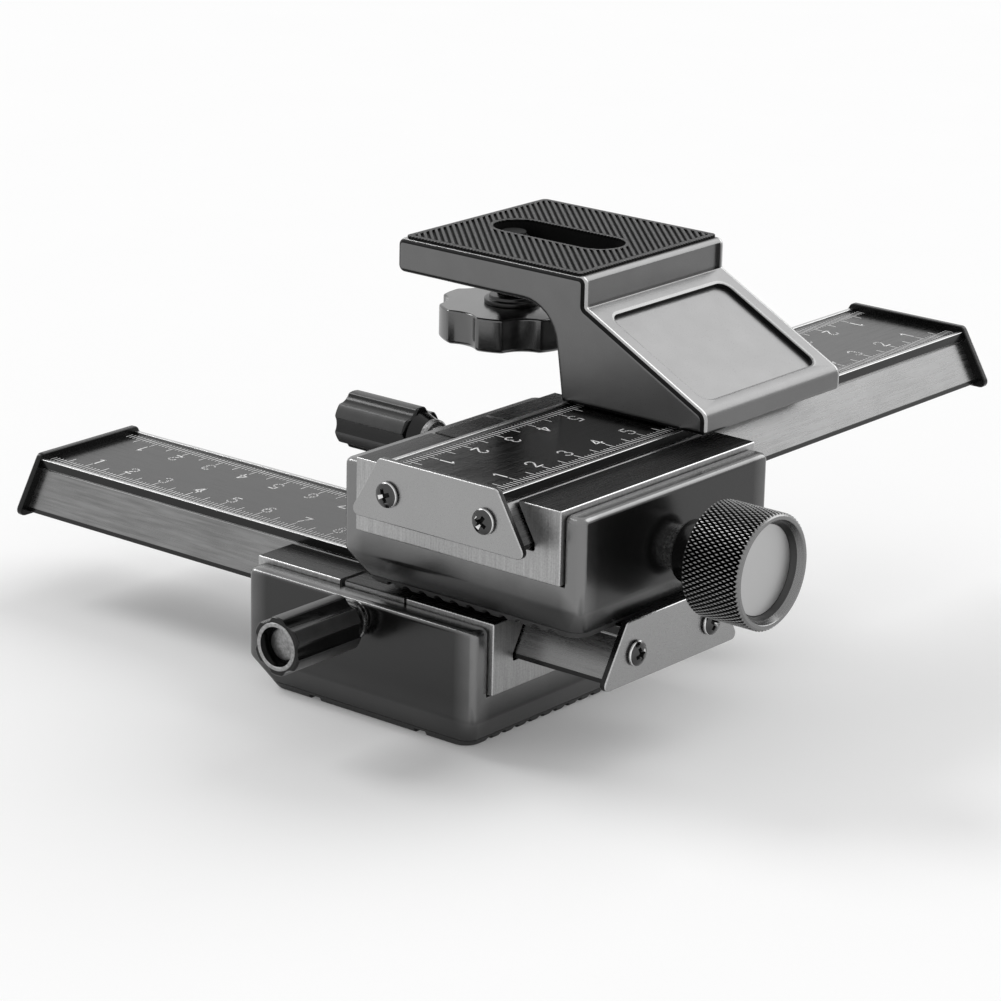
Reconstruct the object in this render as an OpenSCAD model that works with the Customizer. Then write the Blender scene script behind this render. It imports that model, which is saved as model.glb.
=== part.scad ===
// Two-axis macro focusing rail.
// Each stage has its own frame: u runs along its rail, v runs across it from the lock
// side to the drive side, and z starts at the foot of its carriage. The lower stage's
// frame is the part's own frame; the upper stage stands on the lower rail, turned by a
// quarter turn. The bracket's frame starts at the top of the upper rail's lips.

/* [Rail] */
// Length of each rail bar between its two end plates
rail_len = 159; // [140:1:180]
// Height of the rail bar from its foot to the top of its lips
rail_h = 11; // [10.5:0.1:12]
// Width of the rail across its raised top
rail_top_w = 29.8; // [29:0.1:30.4]
// Width of the neck under the raised top
rail_neck_w = 29; // [28:0.1:29]
// Width of the rail at its foot
rail_foot_w = 37.7; // [36:0.1:39]
// Height of the rail's upright side above its neck
rail_side_h = 1.95; // [1.5:0.05:2.4]
// Height of the bevel between the upright side and the flank
rail_bevel_h = 0.35; // [0.2:0.05:0.6]
// Height of the upright foot under the flank
rail_foot_h = 1.1; // [0.6:0.1:1.6]
// Height of the lip along each edge of the scale
lip_h = 0.4; // [0.2:0.1:0.8]
// Width of that lip
lip_w = 1; // [0.6:0.1:2]

/* [Carriage] */
// Length of the painted casting along its rail
car_len = 59.8; // [54:0.2:64]
// Width of the painted casting across its rail
car_w = 60; // [58:0.2:64]
// Height of the channel floor above the foot
floor_h = 17.8; // [17.6:0.1:19.2]
// Height of the jaws above the channel floor
jaw_h = 9.05; // [8.6:0.05:9.4]
// How far the machined jaws rise above the painted walls
jaw_rise = 1.1; // [0.6:0.1:1.6]
// Width of the painted rim on each side of the machined block
rim_w = 4.4; // [3.4:0.1:5.4]
// How far the machined block stands out of each painted end
block_proud = 1.2; // [0.4:0.1:2]
// How far the machined end face reaches below the channel floor
block_skirt = 5.9; // [4:0.1:8]
// Radius of the casting's upright edges
car_edge_r = 1.6; // [1:0.1:2.4]
// How far the casting's two ends lean in at the foot
foot_in_len = 3.8; // [2:0.1:5]
// How far the casting's two sides lean in at the foot
foot_in_w = 3.2; // [2:0.1:3.6]
// Height of the leaning foot
foot_lean_h = 6.9; // [5:0.1:9]
// Radius where the upright walls turn into the leaning foot
foot_turn_r = 2; // [0.5:0.1:4]
// Radius of the casting's bottom edges
car_foot_r = 0.5; // [0.2:0.1:1]
// Radius of the rim along the top of the walls
car_rim_r = 1.2; // [0.5:0.1:1.6]

/* [Base pad] */
// Thickness of the ribbed pad under the carriage
pad_t = 1.6; // [1.5:0.1:2.4]
// Distance from one groove of the pad to the next
groove_pitch = 4.06; // [3.6:0.01:4.3]
// Radius of each groove
groove_r = 1.15; // [0.8:0.05:1.3]
// Number of grooves along the pad
groove_count = 11; // [7:2:11]
// Distance between the two notches across the pad
notch_spread = 28; // [20:1:34]
// Width of each notch
notch_w = 3; // [2:0.1:4]
// Depth of each notch
notch_depth = 1; // [0.5:0.1:1.2]

/* [Tripod thread] */
// Bore of the threaded bush, a 1/4 inch thread's outer size with its play
thread_bore_d = 6.4; // [6.4:0.05:6.6]
// Outer diameter of the threaded bush
insert_d = 12; // [10:0.5:13]
// Height of the threaded bush
insert_h = 8; // [7.5:0.5:9]
// Diameter of the bush's flange
insert_flange_d = 15; // [13.5:0.5:18]
// Diameter of the dowel beside the thread
dowel_d = 4; // [3:0.5:5]
// Distance of the dowel from the thread
dowel_offset = 16; // [12:0.5:20]
// How far the dowel reaches into the carriage
dowel_reach = 5; // [4:0.5:7]
// How far the dowel reaches into the rail below
dowel_seat = 8; // [5:0.5:9]

/* [Clamp shoe] */
// Length of the shoe along the rail
shoe_len = 15.6; // [12:0.2:20]
// Width of the slit at each end of the shoe
slit_w = 1; // [0.5:0.1:1.5]
// Play behind the shoe
shoe_back_gap = 0.3; // [0.1:0.05:0.6]

/* [Drive] */
// Height of the drive shaft's axis above the foot
drive_h = 13.3; // [13.1:0.1:13.5]
// Diameter of the drive shaft
shaft_d = 5; // [4:0.5:5.5]
// Number of teeth on the pinion
pinion_teeth = 14; // [14:1:14]
// Pinion diameter divided by its number of teeth
tooth_module = 0.8; // [0.78:0.01:0.82]
// Width of the pinion
pinion_w = 4.2; // [3:0.1:4.6]
// Middle of the pinion and the rack across the stage
pinion_v = 11; // [10.5:0.1:11.2]
// Near side of the pocket that the pinion turns in
pocket_near = 7.5; // [7:0.1:8]
// Far side of that pocket
pocket_far = 15; // [14.8:0.1:15.2]
// Length of that pocket along the rail
pocket_len = 14; // [13.5:0.1:16]
// Height of that pocket's floor above the foot
pocket_floor = 6.5; // [5.7:0.1:6.7]
// How deep the shaft's inner end sits in its bearing hole
shaft_seat = 4.2; // [3:0.1:5]
// Thickness of the retaining ring on the shaft
clip_t = 0.8; // [0.5:0.1:1]
// Diameter of that ring
clip_d = 8; // [7:0.1:9]
// Outer diameter of the bushing in the wall
bushing_d = 9; // [8.5:0.1:10]
// How far the bushing stands out of the wall
bushing_out = 2.8; // [2:0.1:5]
// Diameter of the black hub ring
collar_d = 12.6; // [11:0.1:14]
// Width of the hub ring
collar_w = 6.5; // [5:0.1:8]
// Diameter of the grub screw in the hub ring
grub_d = 3; // [2:0.5:4]

/* [Drive knob] */
// Diameter of the knurled knob
knob_d = 23.3; // [20:0.1:24]
// Width of the knurled knob
knob_w = 13.4; // [11:0.1:16]
// Bevel on the knob's two outer edges
knob_bevel = 0.5; // [0.3:0.1:1]
// Width of the smooth lip around the knob's front
knob_lip_w = 1.35; // [1:0.05:2]
// Depth of the hollow in the knob's front
knob_hollow = 2.5; // [1.5:0.1:3.5]
// How far that hollow narrows towards its floor
knob_taper = 1.15; // [0.5:0.05:1.6]
// Thickness of the disc in the hollow
disc_t = 0.6; // [0.4:0.1:1]

/* [Lock] */
// Height of the lock screw's axis above the foot
lock_h = 22.2; // [21.3:0.1:22.3]
// Diameter of the lock screw
lock_screw_d = 6; // [5:0.5:6]
// Bare length of the screw between the wall and the knob
lock_bare = 1.4; // [1:0.1:3]
// Length of the knob's tapered neck
lock_neck_len = 3.9; // [2:0.1:6]
// Diameter of the neck at the screw
lock_neck_d = 8.2; // [7.5:0.1:9]
// Diameter of the neck at the grip
lock_neck_wide_d = 10.2; // [9.5:0.1:10.6]
// Diameter of the fluted grip over its ridges
lock_grip_d = 12; // [11.8:0.1:13]
// Length of the fluted grip
lock_grip_len = 18.7; // [14:0.1:22]
// Number of flutes in the grip
flute_count = 6; // [5:1:8]
// Radius of each flute
flute_r = 3.2; // [2.5:0.1:4]
// Depth of each flute
flute_depth = 0.75; // [0.4:0.05:0.8]
// Outer diameter of the metal ring on the grip's end
lock_ring_d = 9.8; // [9.4:0.1:10]
// Wall of that ring
lock_ring_wall = 0.9; // [0.6:0.1:1.2]
// Length of that ring
lock_ring_len = 3; // [2:0.1:4]
// How far the ring stands out of the grip
lock_ring_proud = 0.2; // [0.1:0.05:0.6]
// Thickness of the cap inside the ring
lock_cap_t = 0.8; // [0.5:0.1:1.2]

/* [Rack] */
// How far the rack stops short of the plates' screws
rack_short = 1; // [0.5:0.5:12]
// Width of the rack
rack_w = 5; // [4:0.1:5.2]
// Height of the rack's solid back above its teeth
rack_back_h = 2.8; // [2:0.1:4]
// Height of a tooth above the pitch line
tooth_tip_h = 0.48; // [0.4:0.01:0.5]
// Depth of a tooth gap below the pitch line
tooth_root_h = 0.65; // [0.6:0.01:0.7]
// Width of a tooth at its tip
tooth_tip_w = 0.54; // [0.4:0.01:0.6]
// Width of a tooth at its root
tooth_root_w = 1.2; // [1:0.01:1.25]

/* [End plates] */
// Thickness of each end plate
plate_t = 1.5; // [1:0.1:3]
// Width of the plate along its top
plate_top_w = 29.44; // [28:0.02:32]
// Width of the plate along its bottom
plate_foot_w = 44.4; // [42:0.1:46]
// How far the plate rises above the rail's lips
plate_over = 1.12; // [0.2:0.02:1.4]
// How far the plate reaches below the rail's foot
plate_under = 0.65; // [0.2:0.05:1]
// Corner radius of the plate
plate_corner_r = 1.3; // [0.5:0.1:2]
// Distance between the plate's two screws
plate_screw_spread = 24.1; // [20:0.1:26]
// Height of those screws above the rail's foot
plate_screw_h = 5.3; // [4:0.1:6]
// Diameter of the plate screws
plate_screw_d = 3; // [2.5:0.5:3.5]
// Length of the plate screws under their heads
plate_screw_len = 9; // [6:0.5:14]
// Diameter of the plate screws' heads
plate_head_d = 6; // [5:0.1:6.4]
// Height of those heads
plate_head_h = 1.6; // [1.2:0.1:2.2]
// Width of the cross in those heads
cross_w = 0.9; // [0.6:0.1:1.1]
// Span of the cross
cross_span = 3.4; // [2.4:0.1:4]
// Depth of the cross
cross_depth = 0.9; // [0.5:0.1:1.1]

/* [Placing] */
// Middle of the lower rail, from the middle of its carriage, at rest
lower_rail_at = -25.6; // [-48:0.1:-20]
// Gap from the upper carriage's foot to the end of the lower rail under it
upper_foot_gap = 1.45; // [1:0.05:12]
// How far the upper stage is bolted off the lower rail's centre line
upper_offset = 0; // [-1:0.1:1]
// Middle of the upper rail, from the middle of its carriage, at rest
upper_rail_at = -43.95; // [-48:0.05:-30]
// Diameter of the bolt between the lower rail and the upper carriage
bolt_d = 6.35; // [5:0.05:6.35]
// Diameter of that bolt's head
bolt_head_d = 10; // [9:0.5:10]
// Height of that bolt's head
bolt_head_h = 4.3; // [3:0.1:5]
// How far the bolt reaches into the upper carriage
bolt_reach = 6.5; // [5:0.5:7]

/* [Bracket] */
// Width of the bracket along the upper rail
brk_w = 48; // [44:0.5:52]
// Free end of the platform, from the upper rail's centre line
brk_tip_x = 59.7; // [57:0.1:64]
// Height of the platform's top above the rail
brk_top_h = 26.9; // [26:0.1:29]
// Thickness of the platform
brk_plate_t = 7.4; // [6.5:0.1:8]
// Back end of the platform, from the upper rail's centre line
brk_step_x = 10; // [9:0.1:12]
// Height of the top of the sloped face above the rail
brk_slope_h = 20.6; // [20:0.1:22]
// Back of the foot, from the upper rail's centre line
brk_heel_x = 20.8; // [18:0.1:24]
// Height of the foot's upright back
brk_heel_h = 4.4; // [3:0.1:6]
// Front of the foot, from the upper rail's centre line
brk_toe_x = 15.5; // [14.5:0.1:16.5]
// How far the web leans out under the platform
brk_lean = 2.85; // [1:0.05:4]
// Radius of the corner between the web and the platform
brk_web_r = 8.5; // [5:0.1:9.5]
// Radius of the platform's edges
brk_edge_r = 1.6; // [0.5:0.1:2.2]
// Radius of the foot's edges
brk_heel_r = 0.9; // [0.3:0.1:1.5]
// Border of the sunk panel at the bracket's two sides
panel_side = 4.6; // [3:0.1:7]
// Border of the sunk panel at the top of the slope
panel_top = 3.6; // [2.5:0.1:6]
// Border of the sunk panel at the foot of the slope
panel_foot = 3.4; // [2.5:0.1:6]
// Depth of the sunk panel
panel_depth = 1.2; // [0.4:0.1:2]
// Corner radius of the sunk panel
panel_r = 2.6; // [1:0.1:4]
// Depth of the hollow in the platform's back edge
step_depth = 0.7; // [0.3:0.1:1.2]
// Width of the rib at each end of that hollow
step_rib = 1.8; // [1:0.1:3]
// Width of the rim above that hollow
step_rim = 0.9; // [0.5:0.1:1.5]

/* [Bracket screws] */
// Diameter of the bracket's screws
brk_screw_d = 4; // [3:0.5:4.5]
// Diameter of their heads
brk_head_d = 7; // [6.5:0.1:7.5]
// Height of their heads
brk_head_h = 3.8; // [3:0.1:5]
// How far they reach into the bracket
brk_screw_reach = 7; // [5:0.5:8]
// Distance between them along the rail
brk_screw_spread = 28; // [20:0.5:34]
// Near row, from the rail's centre line
brk_screw_near = 9; // [8:0.1:9.5]
// Far row, from the rail's centre line
brk_screw_far = 2; // [1:0.1:3]

/* [Camera slot] */
// Width of the slot's upper part
slot_w = 11.5; // [10:0.1:13]
// Width of the slot's lower part
slot_neck_w = 6.8; // [6.7:0.05:7.4]
// Free end of the slot, from the upper rail's centre line
slot_tip_x = 51.9; // [50:0.1:53]
// Other end of the slot, from the upper rail's centre line
slot_root_x = 19.5; // [18:0.1:24]
// Thickness of the ledge in the slot
ledge_t = 2; // [1.2:0.1:3]
// Thickness of the rubber on the platform
rubber_t = 0.6; // [0.4:0.1:1]
// Border of bare metal around the rubber
rubber_inset = 0.8; // [0.4:0.1:2]
// Corner radius of the rubber
rubber_r = 1.2; // [0.5:0.1:2.5]

/* [Camera screw] */
// Place of the camera screw at rest, from the upper rail's centre line
cam_x = 47.8; // [40:0.1:47.8]
// Diameter of the camera screw
cam_d = 6.35; // [6:0.05:6.35]
// How far the screw's tip stays below the top of the rubber at rest
cam_tip_drop = 0.2; // [0.1:0.1:1]
// Diameter of the washer and the ring above the ledge
cam_ring_d = 8; // [7.6:0.1:8]
// Thickness of that washer and of that ring
cam_ring_t = 0.8; // [0.6:0.1:1]
// Depth of the ring's groove in the screw
cam_groove_depth = 0.6; // [0.4:0.05:0.8]
// Diameter of the shoulder ring above the thumb knob
cam_collar_d = 12; // [10:0.1:13]
// Height of that shoulder ring
cam_collar_h = 1.8; // [1:0.1:3]
// Diameter of the thumb knob over its lobes
thumb_d = 31.6; // [24:0.2:32]
// Thickness of the thumb knob
thumb_h = 7.4; // [5:0.1:7.8]
// Height of the thumb knob above the rail
thumb_z = 3.2; // [2:0.1:4.2]
// Number of lobes of the thumb knob
lobe_count = 7; // [5:1:8]
// Radius of the hollow between two lobes
lobe_hollow_r = 7.5; // [6:0.5:18]
// Depth of that hollow
lobe_depth = 1.8; // [1:0.1:2]
// Direction of one lobe at rest
lobe_angle = -69; // [-90:1:90]
// Thickness of the knob's floor under the screw
thumb_floor = 1; // [0.6:0.1:2]

/* [Fits] */
// Play above and below the rail in its channel
slide_gap = 0.35; // [0.2:0.05:0.5]
// Play beside the rail in its channel
side_gap = 0.44; // [0.3:0.02:0.6]
// Play around a turning shaft or a pressed-in piece
fit = 0.03; // [0.02:0.01:0.06]
// Play between faces that pass each other
run_gap = 0.1; // [0.05:0.05:0.2]

/* [Hidden] */
$fn = 96;
// Steps along a rounded corner of an outline
corner_steps = 8;
// How far every cut runs past the face that it opens
overrun = 1;
// Chamfer on the ends of screws and shafts
end_bevel = 0.4;
// Play around the head of a sunk screw
head_gap = 0.3;
// Play around a screw that only passes through
pass_gap = 0.1;
// Height of the rim of a round-topped screw head
head_rim_h = 0.6;
// Angles of a quarter, a half and a full turn
quarter_turn = 90;
half_turn = 180;
full_turn = 360;

block_w = car_w - 2 * rim_w;
jaw_top = floor_h + jaw_h;
wall_top = jaw_top - jaw_rise;
block_len = car_len + 2 * block_proud;
block_z = floor_h - block_skirt;
rail_z = floor_h + slide_gap;
stage_h = rail_z + rail_h - lip_h;
rail_neck_z = rail_h - rail_side_h - rail_bevel_h;
flank_lean = (rail_foot_w - rail_neck_w) / 2 / (rail_neck_z - rail_foot_h);
channel_foot = rail_foot_w / 2 + side_gap;
channel_foot_z = rail_z + rail_foot_h;
channel_top = channel_foot - flank_lean * (jaw_top - channel_foot_z);
channel_open = channel_top - flank_lean * overrun;
scale_z = rail_h - lip_h;

upper_on_rail = rail_len / 2 - upper_foot_gap - (car_w / 2 - foot_in_w);
upper_x = lower_rail_at + upper_on_rail;
upper_y = upper_offset;
bracket_y = upper_y - upper_rail_at;
bracket_z = 2 * stage_h + lip_h;

pinion_r = tooth_module * pinion_teeth / 2;
tooth_pitch = PI * tooth_module;
rack_len = rail_len - 2 * (plate_screw_len + rack_short);
rack_pitch_z = drive_h + pinion_r - rail_z;
rack_tip_z = rack_pitch_z - tooth_tip_h;
rack_root_z = rack_pitch_z + tooth_root_h;
rack_top_z = rack_root_z + rack_back_h;
pinion_near = pinion_v - pinion_w / 2;
pinion_far = pinion_v + pinion_w / 2;
shaft_near = pocket_near - shaft_seat;
clip_v = (pinion_far + pocket_far - clip_t) / 2;
clip_groove_r = shaft_d / 2 - clip_t / 2;
wall_v = car_w / 2;
bushing_end = wall_v + bushing_out;
collar_v = bushing_end + run_gap;
knob_v = collar_v + collar_w;
knob_end = knob_v + knob_w;
knob_floor = knob_end - knob_hollow - disc_t;
hollow_top_r = knob_d / 2 - knob_lip_w;
hollow_foot_r = hollow_top_r - knob_taper;
disc_r = hollow_foot_r - run_gap / 2;

shoe_back = block_w / 2 - shoe_back_gap;
lock_tip = shoe_back + fit;
lock_neck_v = wall_v + lock_bare;
lock_grip_v = lock_neck_v + lock_neck_len;
lock_end = lock_grip_v + lock_grip_len;
lock_floor = lock_end + lock_ring_proud - lock_ring_len;
lock_screw_end = lock_floor - run_gap - lock_cap_t;
flute_at = lock_grip_d / 2 + flute_r - flute_depth;

bolt_head_z = run_gap * 2;
bolt_seat_z = bolt_head_z + bolt_head_h;
brk_head_z = run_gap * 2;
brk_seat_z = brk_head_z + brk_head_h;
rail_end = rail_len / 2;

under_h = brk_top_h - brk_plate_t;
slope_run = brk_heel_x + brk_step_x;
slope_rise = brk_slope_h - brk_heel_h;
slope_len = norm([slope_run, slope_rise]);
slope_angle = atan(slope_rise / slope_run);
panel_len = slope_len - panel_top - panel_foot;
ledge_z = under_h + ledge_t;
rubber_z = brk_top_h + rubber_t;
cam_washer_z = ledge_z;
cam_clip_z = cam_washer_z + cam_ring_t + run_gap / 2;
cam_tip_z = rubber_z - cam_tip_drop;
cam_groove_r = cam_d / 2 - cam_groove_depth;
thumb_top = thumb_z + thumb_h;
lobe_at = thumb_d / 2 + lobe_hollow_r - lobe_depth;

paint = [0.13, 0.13, 0.14];
steel = [0.66, 0.67, 0.69];
anodised = [0.2, 0.2, 0.21];
plastic = [0.06, 0.06, 0.065];
rubber = [0.05, 0.05, 0.05];
chrome = [0.8, 0.8, 0.82];
pale = [0.6, 0.6, 0.61];

// Outlines

function unit(v) = v / norm(v);
function short_turn(t) =
    t > half_turn ? t - full_turn : t < -half_turn ? t + full_turn : t;
function bearing(v) = atan2(v[1], v[0]);

// One corner at p between the points a and b, rounded with radius r
function corner(a, p, b, r) = r == 0 ? [p] :
    let (da = unit(a - p), db = unit(b - p), half = acos(da * db) / 2)
    let (mid = p + unit(da + db) * r / sin(half), run = r / tan(half))
    let (start = bearing(p + da * run - mid), stop = bearing(p + db * run - mid))
    let (turn = short_turn(stop - start))
    [for (i = [0:corner_steps])
        let (t = start + turn * i / corner_steps) mid + r * [cos(t), sin(t)]];

// An outline with each corner rounded by its own radius
function rounded(points, radii) = let (count = len(points))
    [for (i = [0:count - 1]) each
        corner(points[(i + count - 1) % count], points[i], points[(i + 1) % count], radii[i])];

function box_points(l, w) = [[-l, -w] / 2, [l, -w] / 2, [l, w] / 2, [-l, w] / 2];
function mirrored(points) =
    concat(points, [for (i = [len(points) - 1:-1:0]) [-points[i][0], points[i][1]]]);

// A prism along the rail, or across it, or upright, from a flat outline

module along_u(l) {
    rotate([90, 0, 90]) linear_extrude(l, center = true) children();
}

module along_v(l) {
    rotate([90, 0, 0]) linear_extrude(l, center = true) children();
}

module ring(outer, inner, h) {
    difference() {
        cylinder(r = outer, h = h);
        translate([0, 0, -overrun]) cylinder(r = inner, h = h + 2 * overrun);
    }
}

// A round bar with bevelled ends, standing on z = 0
module pin(r, h) {
    rotate_extrude() polygon([
        [0, 0], [r - end_bevel, 0], [r, end_bevel],
        [r, h - end_bevel], [r - end_bevel, h], [0, h]
    ]);
}

// Frames

module upper_place() {
    translate([upper_x, upper_y, stage_h]) rotate([0, 0, -90]) children();
}

module rail_place(at) {
    translate([at, 0, rail_z]) children();
}

// The drive axis: z runs outwards on the drive side, from the stage's middle
module on_drive() {
    translate([0, 0, drive_h]) rotate([-90, 0, 0]) children();
}

// The lock axis: z runs outwards on the lock side, from the stage's middle
module on_lock() {
    translate([0, 0, lock_h]) rotate([90, 0, 0]) children();
}

module bracket_place() {
    translate([upper_x, bracket_y, bracket_z]) children();
}

module camera_place() {
    bracket_place() translate([-cam_x, 0, 0]) children();
}

// Carriage

module wall_outline(l, foot_in) {
    polygon(rounded(
        [
            [foot_in - l / 2, 0], [l / 2 - foot_in, 0], [l / 2, foot_lean_h],
            [l / 2, wall_top], [-l / 2, wall_top], [-l / 2, foot_lean_h]
        ],
        [car_foot_r, car_foot_r, foot_turn_r, car_rim_r, car_rim_r, foot_turn_r]));
}

module casting_shape() {
    intersection() {
        linear_extrude(wall_top)
            polygon(rounded(box_points(car_len, car_w), [for (i = [0:3]) car_edge_r]));
        along_u(car_len + overrun) wall_outline(car_w, foot_in_w);
        along_v(car_w + overrun) wall_outline(car_len, foot_in_len);
    }
}

module machined_block() {
    translate([-block_len / 2, -block_w / 2, block_z])
        cube([block_len, block_w, jaw_top - block_z]);
}

module below_pad_top() {
    translate([-car_len, -car_w, -overrun])
        cube([2 * car_len, 2 * car_w, pad_t + overrun]);
}

module channel() {
    along_u(block_len + 2 * overrun) polygon(mirrored([
        [channel_foot, floor_h], [channel_foot, channel_foot_z],
        [channel_open, jaw_top + overrun]
    ]));
}

module shoe_pocket() {
    pocket = shoe_len + 2 * slit_w;
    translate([-pocket / 2, -block_w / 2, floor_h])
        cube([pocket, block_w / 2, jaw_h + overrun]);
}

module pinion_pocket() {
    translate([-pocket_len / 2, pocket_near, pocket_floor])
        cube([pocket_len, pocket_far - pocket_near, floor_h - pocket_floor + overrun]);
}

module shaft_holes() {
    on_drive() {
        translate([0, 0, shaft_near - end_bevel])
            cylinder(d = shaft_d + 2 * fit, h = shaft_seat + end_bevel + overrun);
        translate([0, 0, pocket_far - overrun])
            cylinder(d = bushing_d + 2 * fit, h = wall_v - pocket_far + 2 * overrun);
    }
}

module lock_hole() {
    on_lock() translate([0, 0, block_w / 2 - overrun])
        cylinder(d = lock_screw_d + 2 * fit, h = wall_v - block_w / 2 + 2 * overrun);
}

module insert_hole() {
    translate([0, 0, pad_t - overrun])
        cylinder(d = insert_d + 2 * fit, h = insert_h - pad_t + overrun);
}

module dowel_hole() {
    translate([0, -dowel_offset, -overrun])
        cylinder(d = dowel_d + 2 * fit, h = dowel_reach + run_gap + overrun);
}

module carriage() {
    color(paint) difference() {
        union() {
            casting_shape();
            machined_block();
        }
        below_pad_top();
        channel();
        shoe_pocket();
        pinion_pocket();
        shaft_holes();
        lock_hole();
        insert_hole();
        dowel_hole();
    }
}

module clamp_shoe() {
    shoe_z = floor_h + run_gap;
    color(anodised) along_u(shoe_len) polygon([
        [-shoe_back, shoe_z], [-channel_foot, shoe_z], [-channel_foot, channel_foot_z],
        [-channel_top, jaw_top], [-shoe_back, jaw_top]
    ]);
}

module base_pad() {
    color(rubber) difference() {
        intersection() {
            casting_shape();
            below_pad_top();
        }
        for (i = [0:groove_count - 1])
            translate([0, (i - (groove_count - 1) / 2) * groove_pitch, 0])
                rotate([0, 90, 0])
                    cylinder(r = groove_r, h = car_len + 2 * overrun, center = true);
        for (side = [-1, 1])
            translate([side * notch_spread / 2 - notch_w / 2, -car_w, -overrun])
                cube([notch_w, 2 * car_w, notch_depth + overrun]);
        translate([0, 0, -overrun])
            cylinder(d = insert_flange_d + 2 * fit, h = pad_t + 2 * overrun);
        dowel_hole();
    }
}

module thread_insert() {
    color(steel) difference() {
        union() {
            cylinder(d = insert_flange_d, h = pad_t);
            cylinder(d = insert_d, h = insert_h);
        }
        translate([0, 0, -overrun]) cylinder(d = thread_bore_d, h = insert_h + 2 * overrun);
    }
}

// Rail

function rail_outline() = mirrored([
    [rail_foot_w / 2, 0], [rail_foot_w / 2, rail_foot_h], [rail_neck_w / 2, rail_neck_z],
    [rail_top_w / 2, rail_h - rail_side_h], [rail_top_w / 2, rail_h],
    [rail_top_w / 2 - lip_w, rail_h], [rail_top_w / 2 - lip_w, scale_z]
]);

// Places of a plate's two screws at the end of the rail on the given side
module at_plate_screws(side) {
    for (across = [-1, 1])
        translate([side * rail_end, across * plate_screw_spread / 2, plate_screw_h])
            rotate([0, side * quarter_turn, 0]) children();
}

module rail_bar() {
    groove_len = rack_len + 2 * run_gap;
    difference() {
        along_u(rail_len) polygon(rail_outline());
        translate([-groove_len / 2, pinion_v - rack_w / 2 - fit, -overrun])
            cube([groove_len, rack_w + 2 * fit, rack_top_z + overrun]);
        for (side = [-1, 1])
            at_plate_screws(side) translate([0, 0, -plate_screw_len])
                cylinder(d = plate_screw_d + 2 * fit, h = plate_screw_len + overrun);
    }
}

module at_bolt() {
    translate([upper_on_rail, upper_offset, 0]) children();
}

module at_dowel() {
    translate([upper_on_rail - dowel_offset, upper_offset, 0]) children();
}

module at_bracket_screws() {
    for (along = [-1, 1])
        for (across = [-brk_screw_near, brk_screw_far])
            translate([along * brk_screw_spread / 2, across, 0]) children();
}

// A hole for a screw whose head is sunk in the rail's underside
module sunk_hole(d, head_d, seat_z) {
    translate([0, 0, -overrun]) cylinder(d = d + 2 * pass_gap, h = rail_h + 2 * overrun);
    translate([0, 0, -overrun]) cylinder(d = head_d + 2 * head_gap, h = seat_z + overrun);
}

module bolted_rail() {
    color(anodised) difference() {
        rail_bar();
        at_bolt() sunk_hole(bolt_d, bolt_head_d, bolt_seat_z);
        at_dowel() translate([0, 0, scale_z - dowel_seat])
            cylinder(d = dowel_d + 2 * fit, h = dowel_seat + overrun);
    }
}

module bracket_rail() {
    color(anodised) difference() {
        rail_bar();
        at_bracket_screws() sunk_hole(brk_screw_d, brk_head_d, brk_seat_z);
    }
}

// The teeth point down and a tooth gap stands over the pinion's axis
module rack(at) {
    reach = rack_len / 2 - tooth_pitch / 2;
    first = ceil((at - reach) / tooth_pitch - 1 / 2);
    last = floor((at + reach) / tooth_pitch - 1 / 2);
    teeth = [for (k = [first:last]) let (mid = (k + 1 / 2) * tooth_pitch - at) each [
        [mid - tooth_root_w / 2, rack_root_z], [mid - tooth_tip_w / 2, rack_tip_z],
        [mid + tooth_tip_w / 2, rack_tip_z], [mid + tooth_root_w / 2, rack_root_z]
    ]];
    color(steel) translate([0, pinion_v, 0]) along_v(rack_w) polygon(concat(
        [[-rack_len / 2, rack_root_z]], teeth,
        [[rack_len / 2, rack_root_z], [rack_len / 2, rack_top_z], [-rack_len / 2, rack_top_z]]
    ));
}

module end_plate(side) {
    foot = -plate_under;
    top = rail_h + plate_over;
    color(anodised) difference() {
        translate([side * (rail_end + plate_t / 2), 0, 0]) along_u(plate_t)
            polygon(rounded([
                [-plate_foot_w / 2, foot], [plate_foot_w / 2, foot],
                [plate_top_w / 2, top], [-plate_top_w / 2, top]
            ], [for (i = [0:3]) plate_corner_r]));
        at_plate_screws(side) translate([0, 0, -overrun])
            cylinder(d = plate_screw_d + 2 * pass_gap, h = plate_t + 2 * overrun);
    }
}

module plate_screw() {
    dome_r = plate_head_d / 2;
    dome_h = plate_head_h - head_rim_h;
    difference() {
        rotate_extrude() polygon(concat(
            [[0, -plate_screw_len], [plate_screw_d / 2 - end_bevel, -plate_screw_len],
             [plate_screw_d / 2, end_bevel - plate_screw_len], [plate_screw_d / 2, plate_t],
             [dome_r, plate_t]],
            [for (i = [0:corner_steps]) let (t = quarter_turn * i / corner_steps)
                [dome_r * cos(t), plate_t + head_rim_h + dome_h * sin(t)]]
        ));
        translate([0, 0, plate_t + plate_head_h - cross_depth]) for (turn = [0, 90])
            rotate([0, 0, turn]) translate([-cross_span / 2, -cross_w / 2, 0])
                cube([cross_span, cross_w, cross_depth + overrun]);
    }
}

module plate_screws() {
    color(chrome) for (side = [-1, 1]) at_plate_screws(side) plate_screw();
}

// A socket-head screw that points up, with its head's face at z = 0
module socket_screw(d, head_d, head_h, len) {
    socket_share = 0.3;
    depth_share = 0.5;
    color(steel) difference() {
        union() {
            cylinder(d = head_d, h = head_h);
            translate([0, 0, head_h - end_bevel]) pin(d / 2, len + end_bevel);
        }
        translate([0, 0, -overrun])
            cylinder(r = head_d * socket_share, h = head_h * depth_share + overrun, $fn = 6);
    }
}

module bolt() {
    at_bolt() translate([0, 0, bolt_head_z])
        socket_screw(bolt_d, bolt_head_d, bolt_head_h, scale_z - bolt_seat_z + bolt_reach);
}

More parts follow.
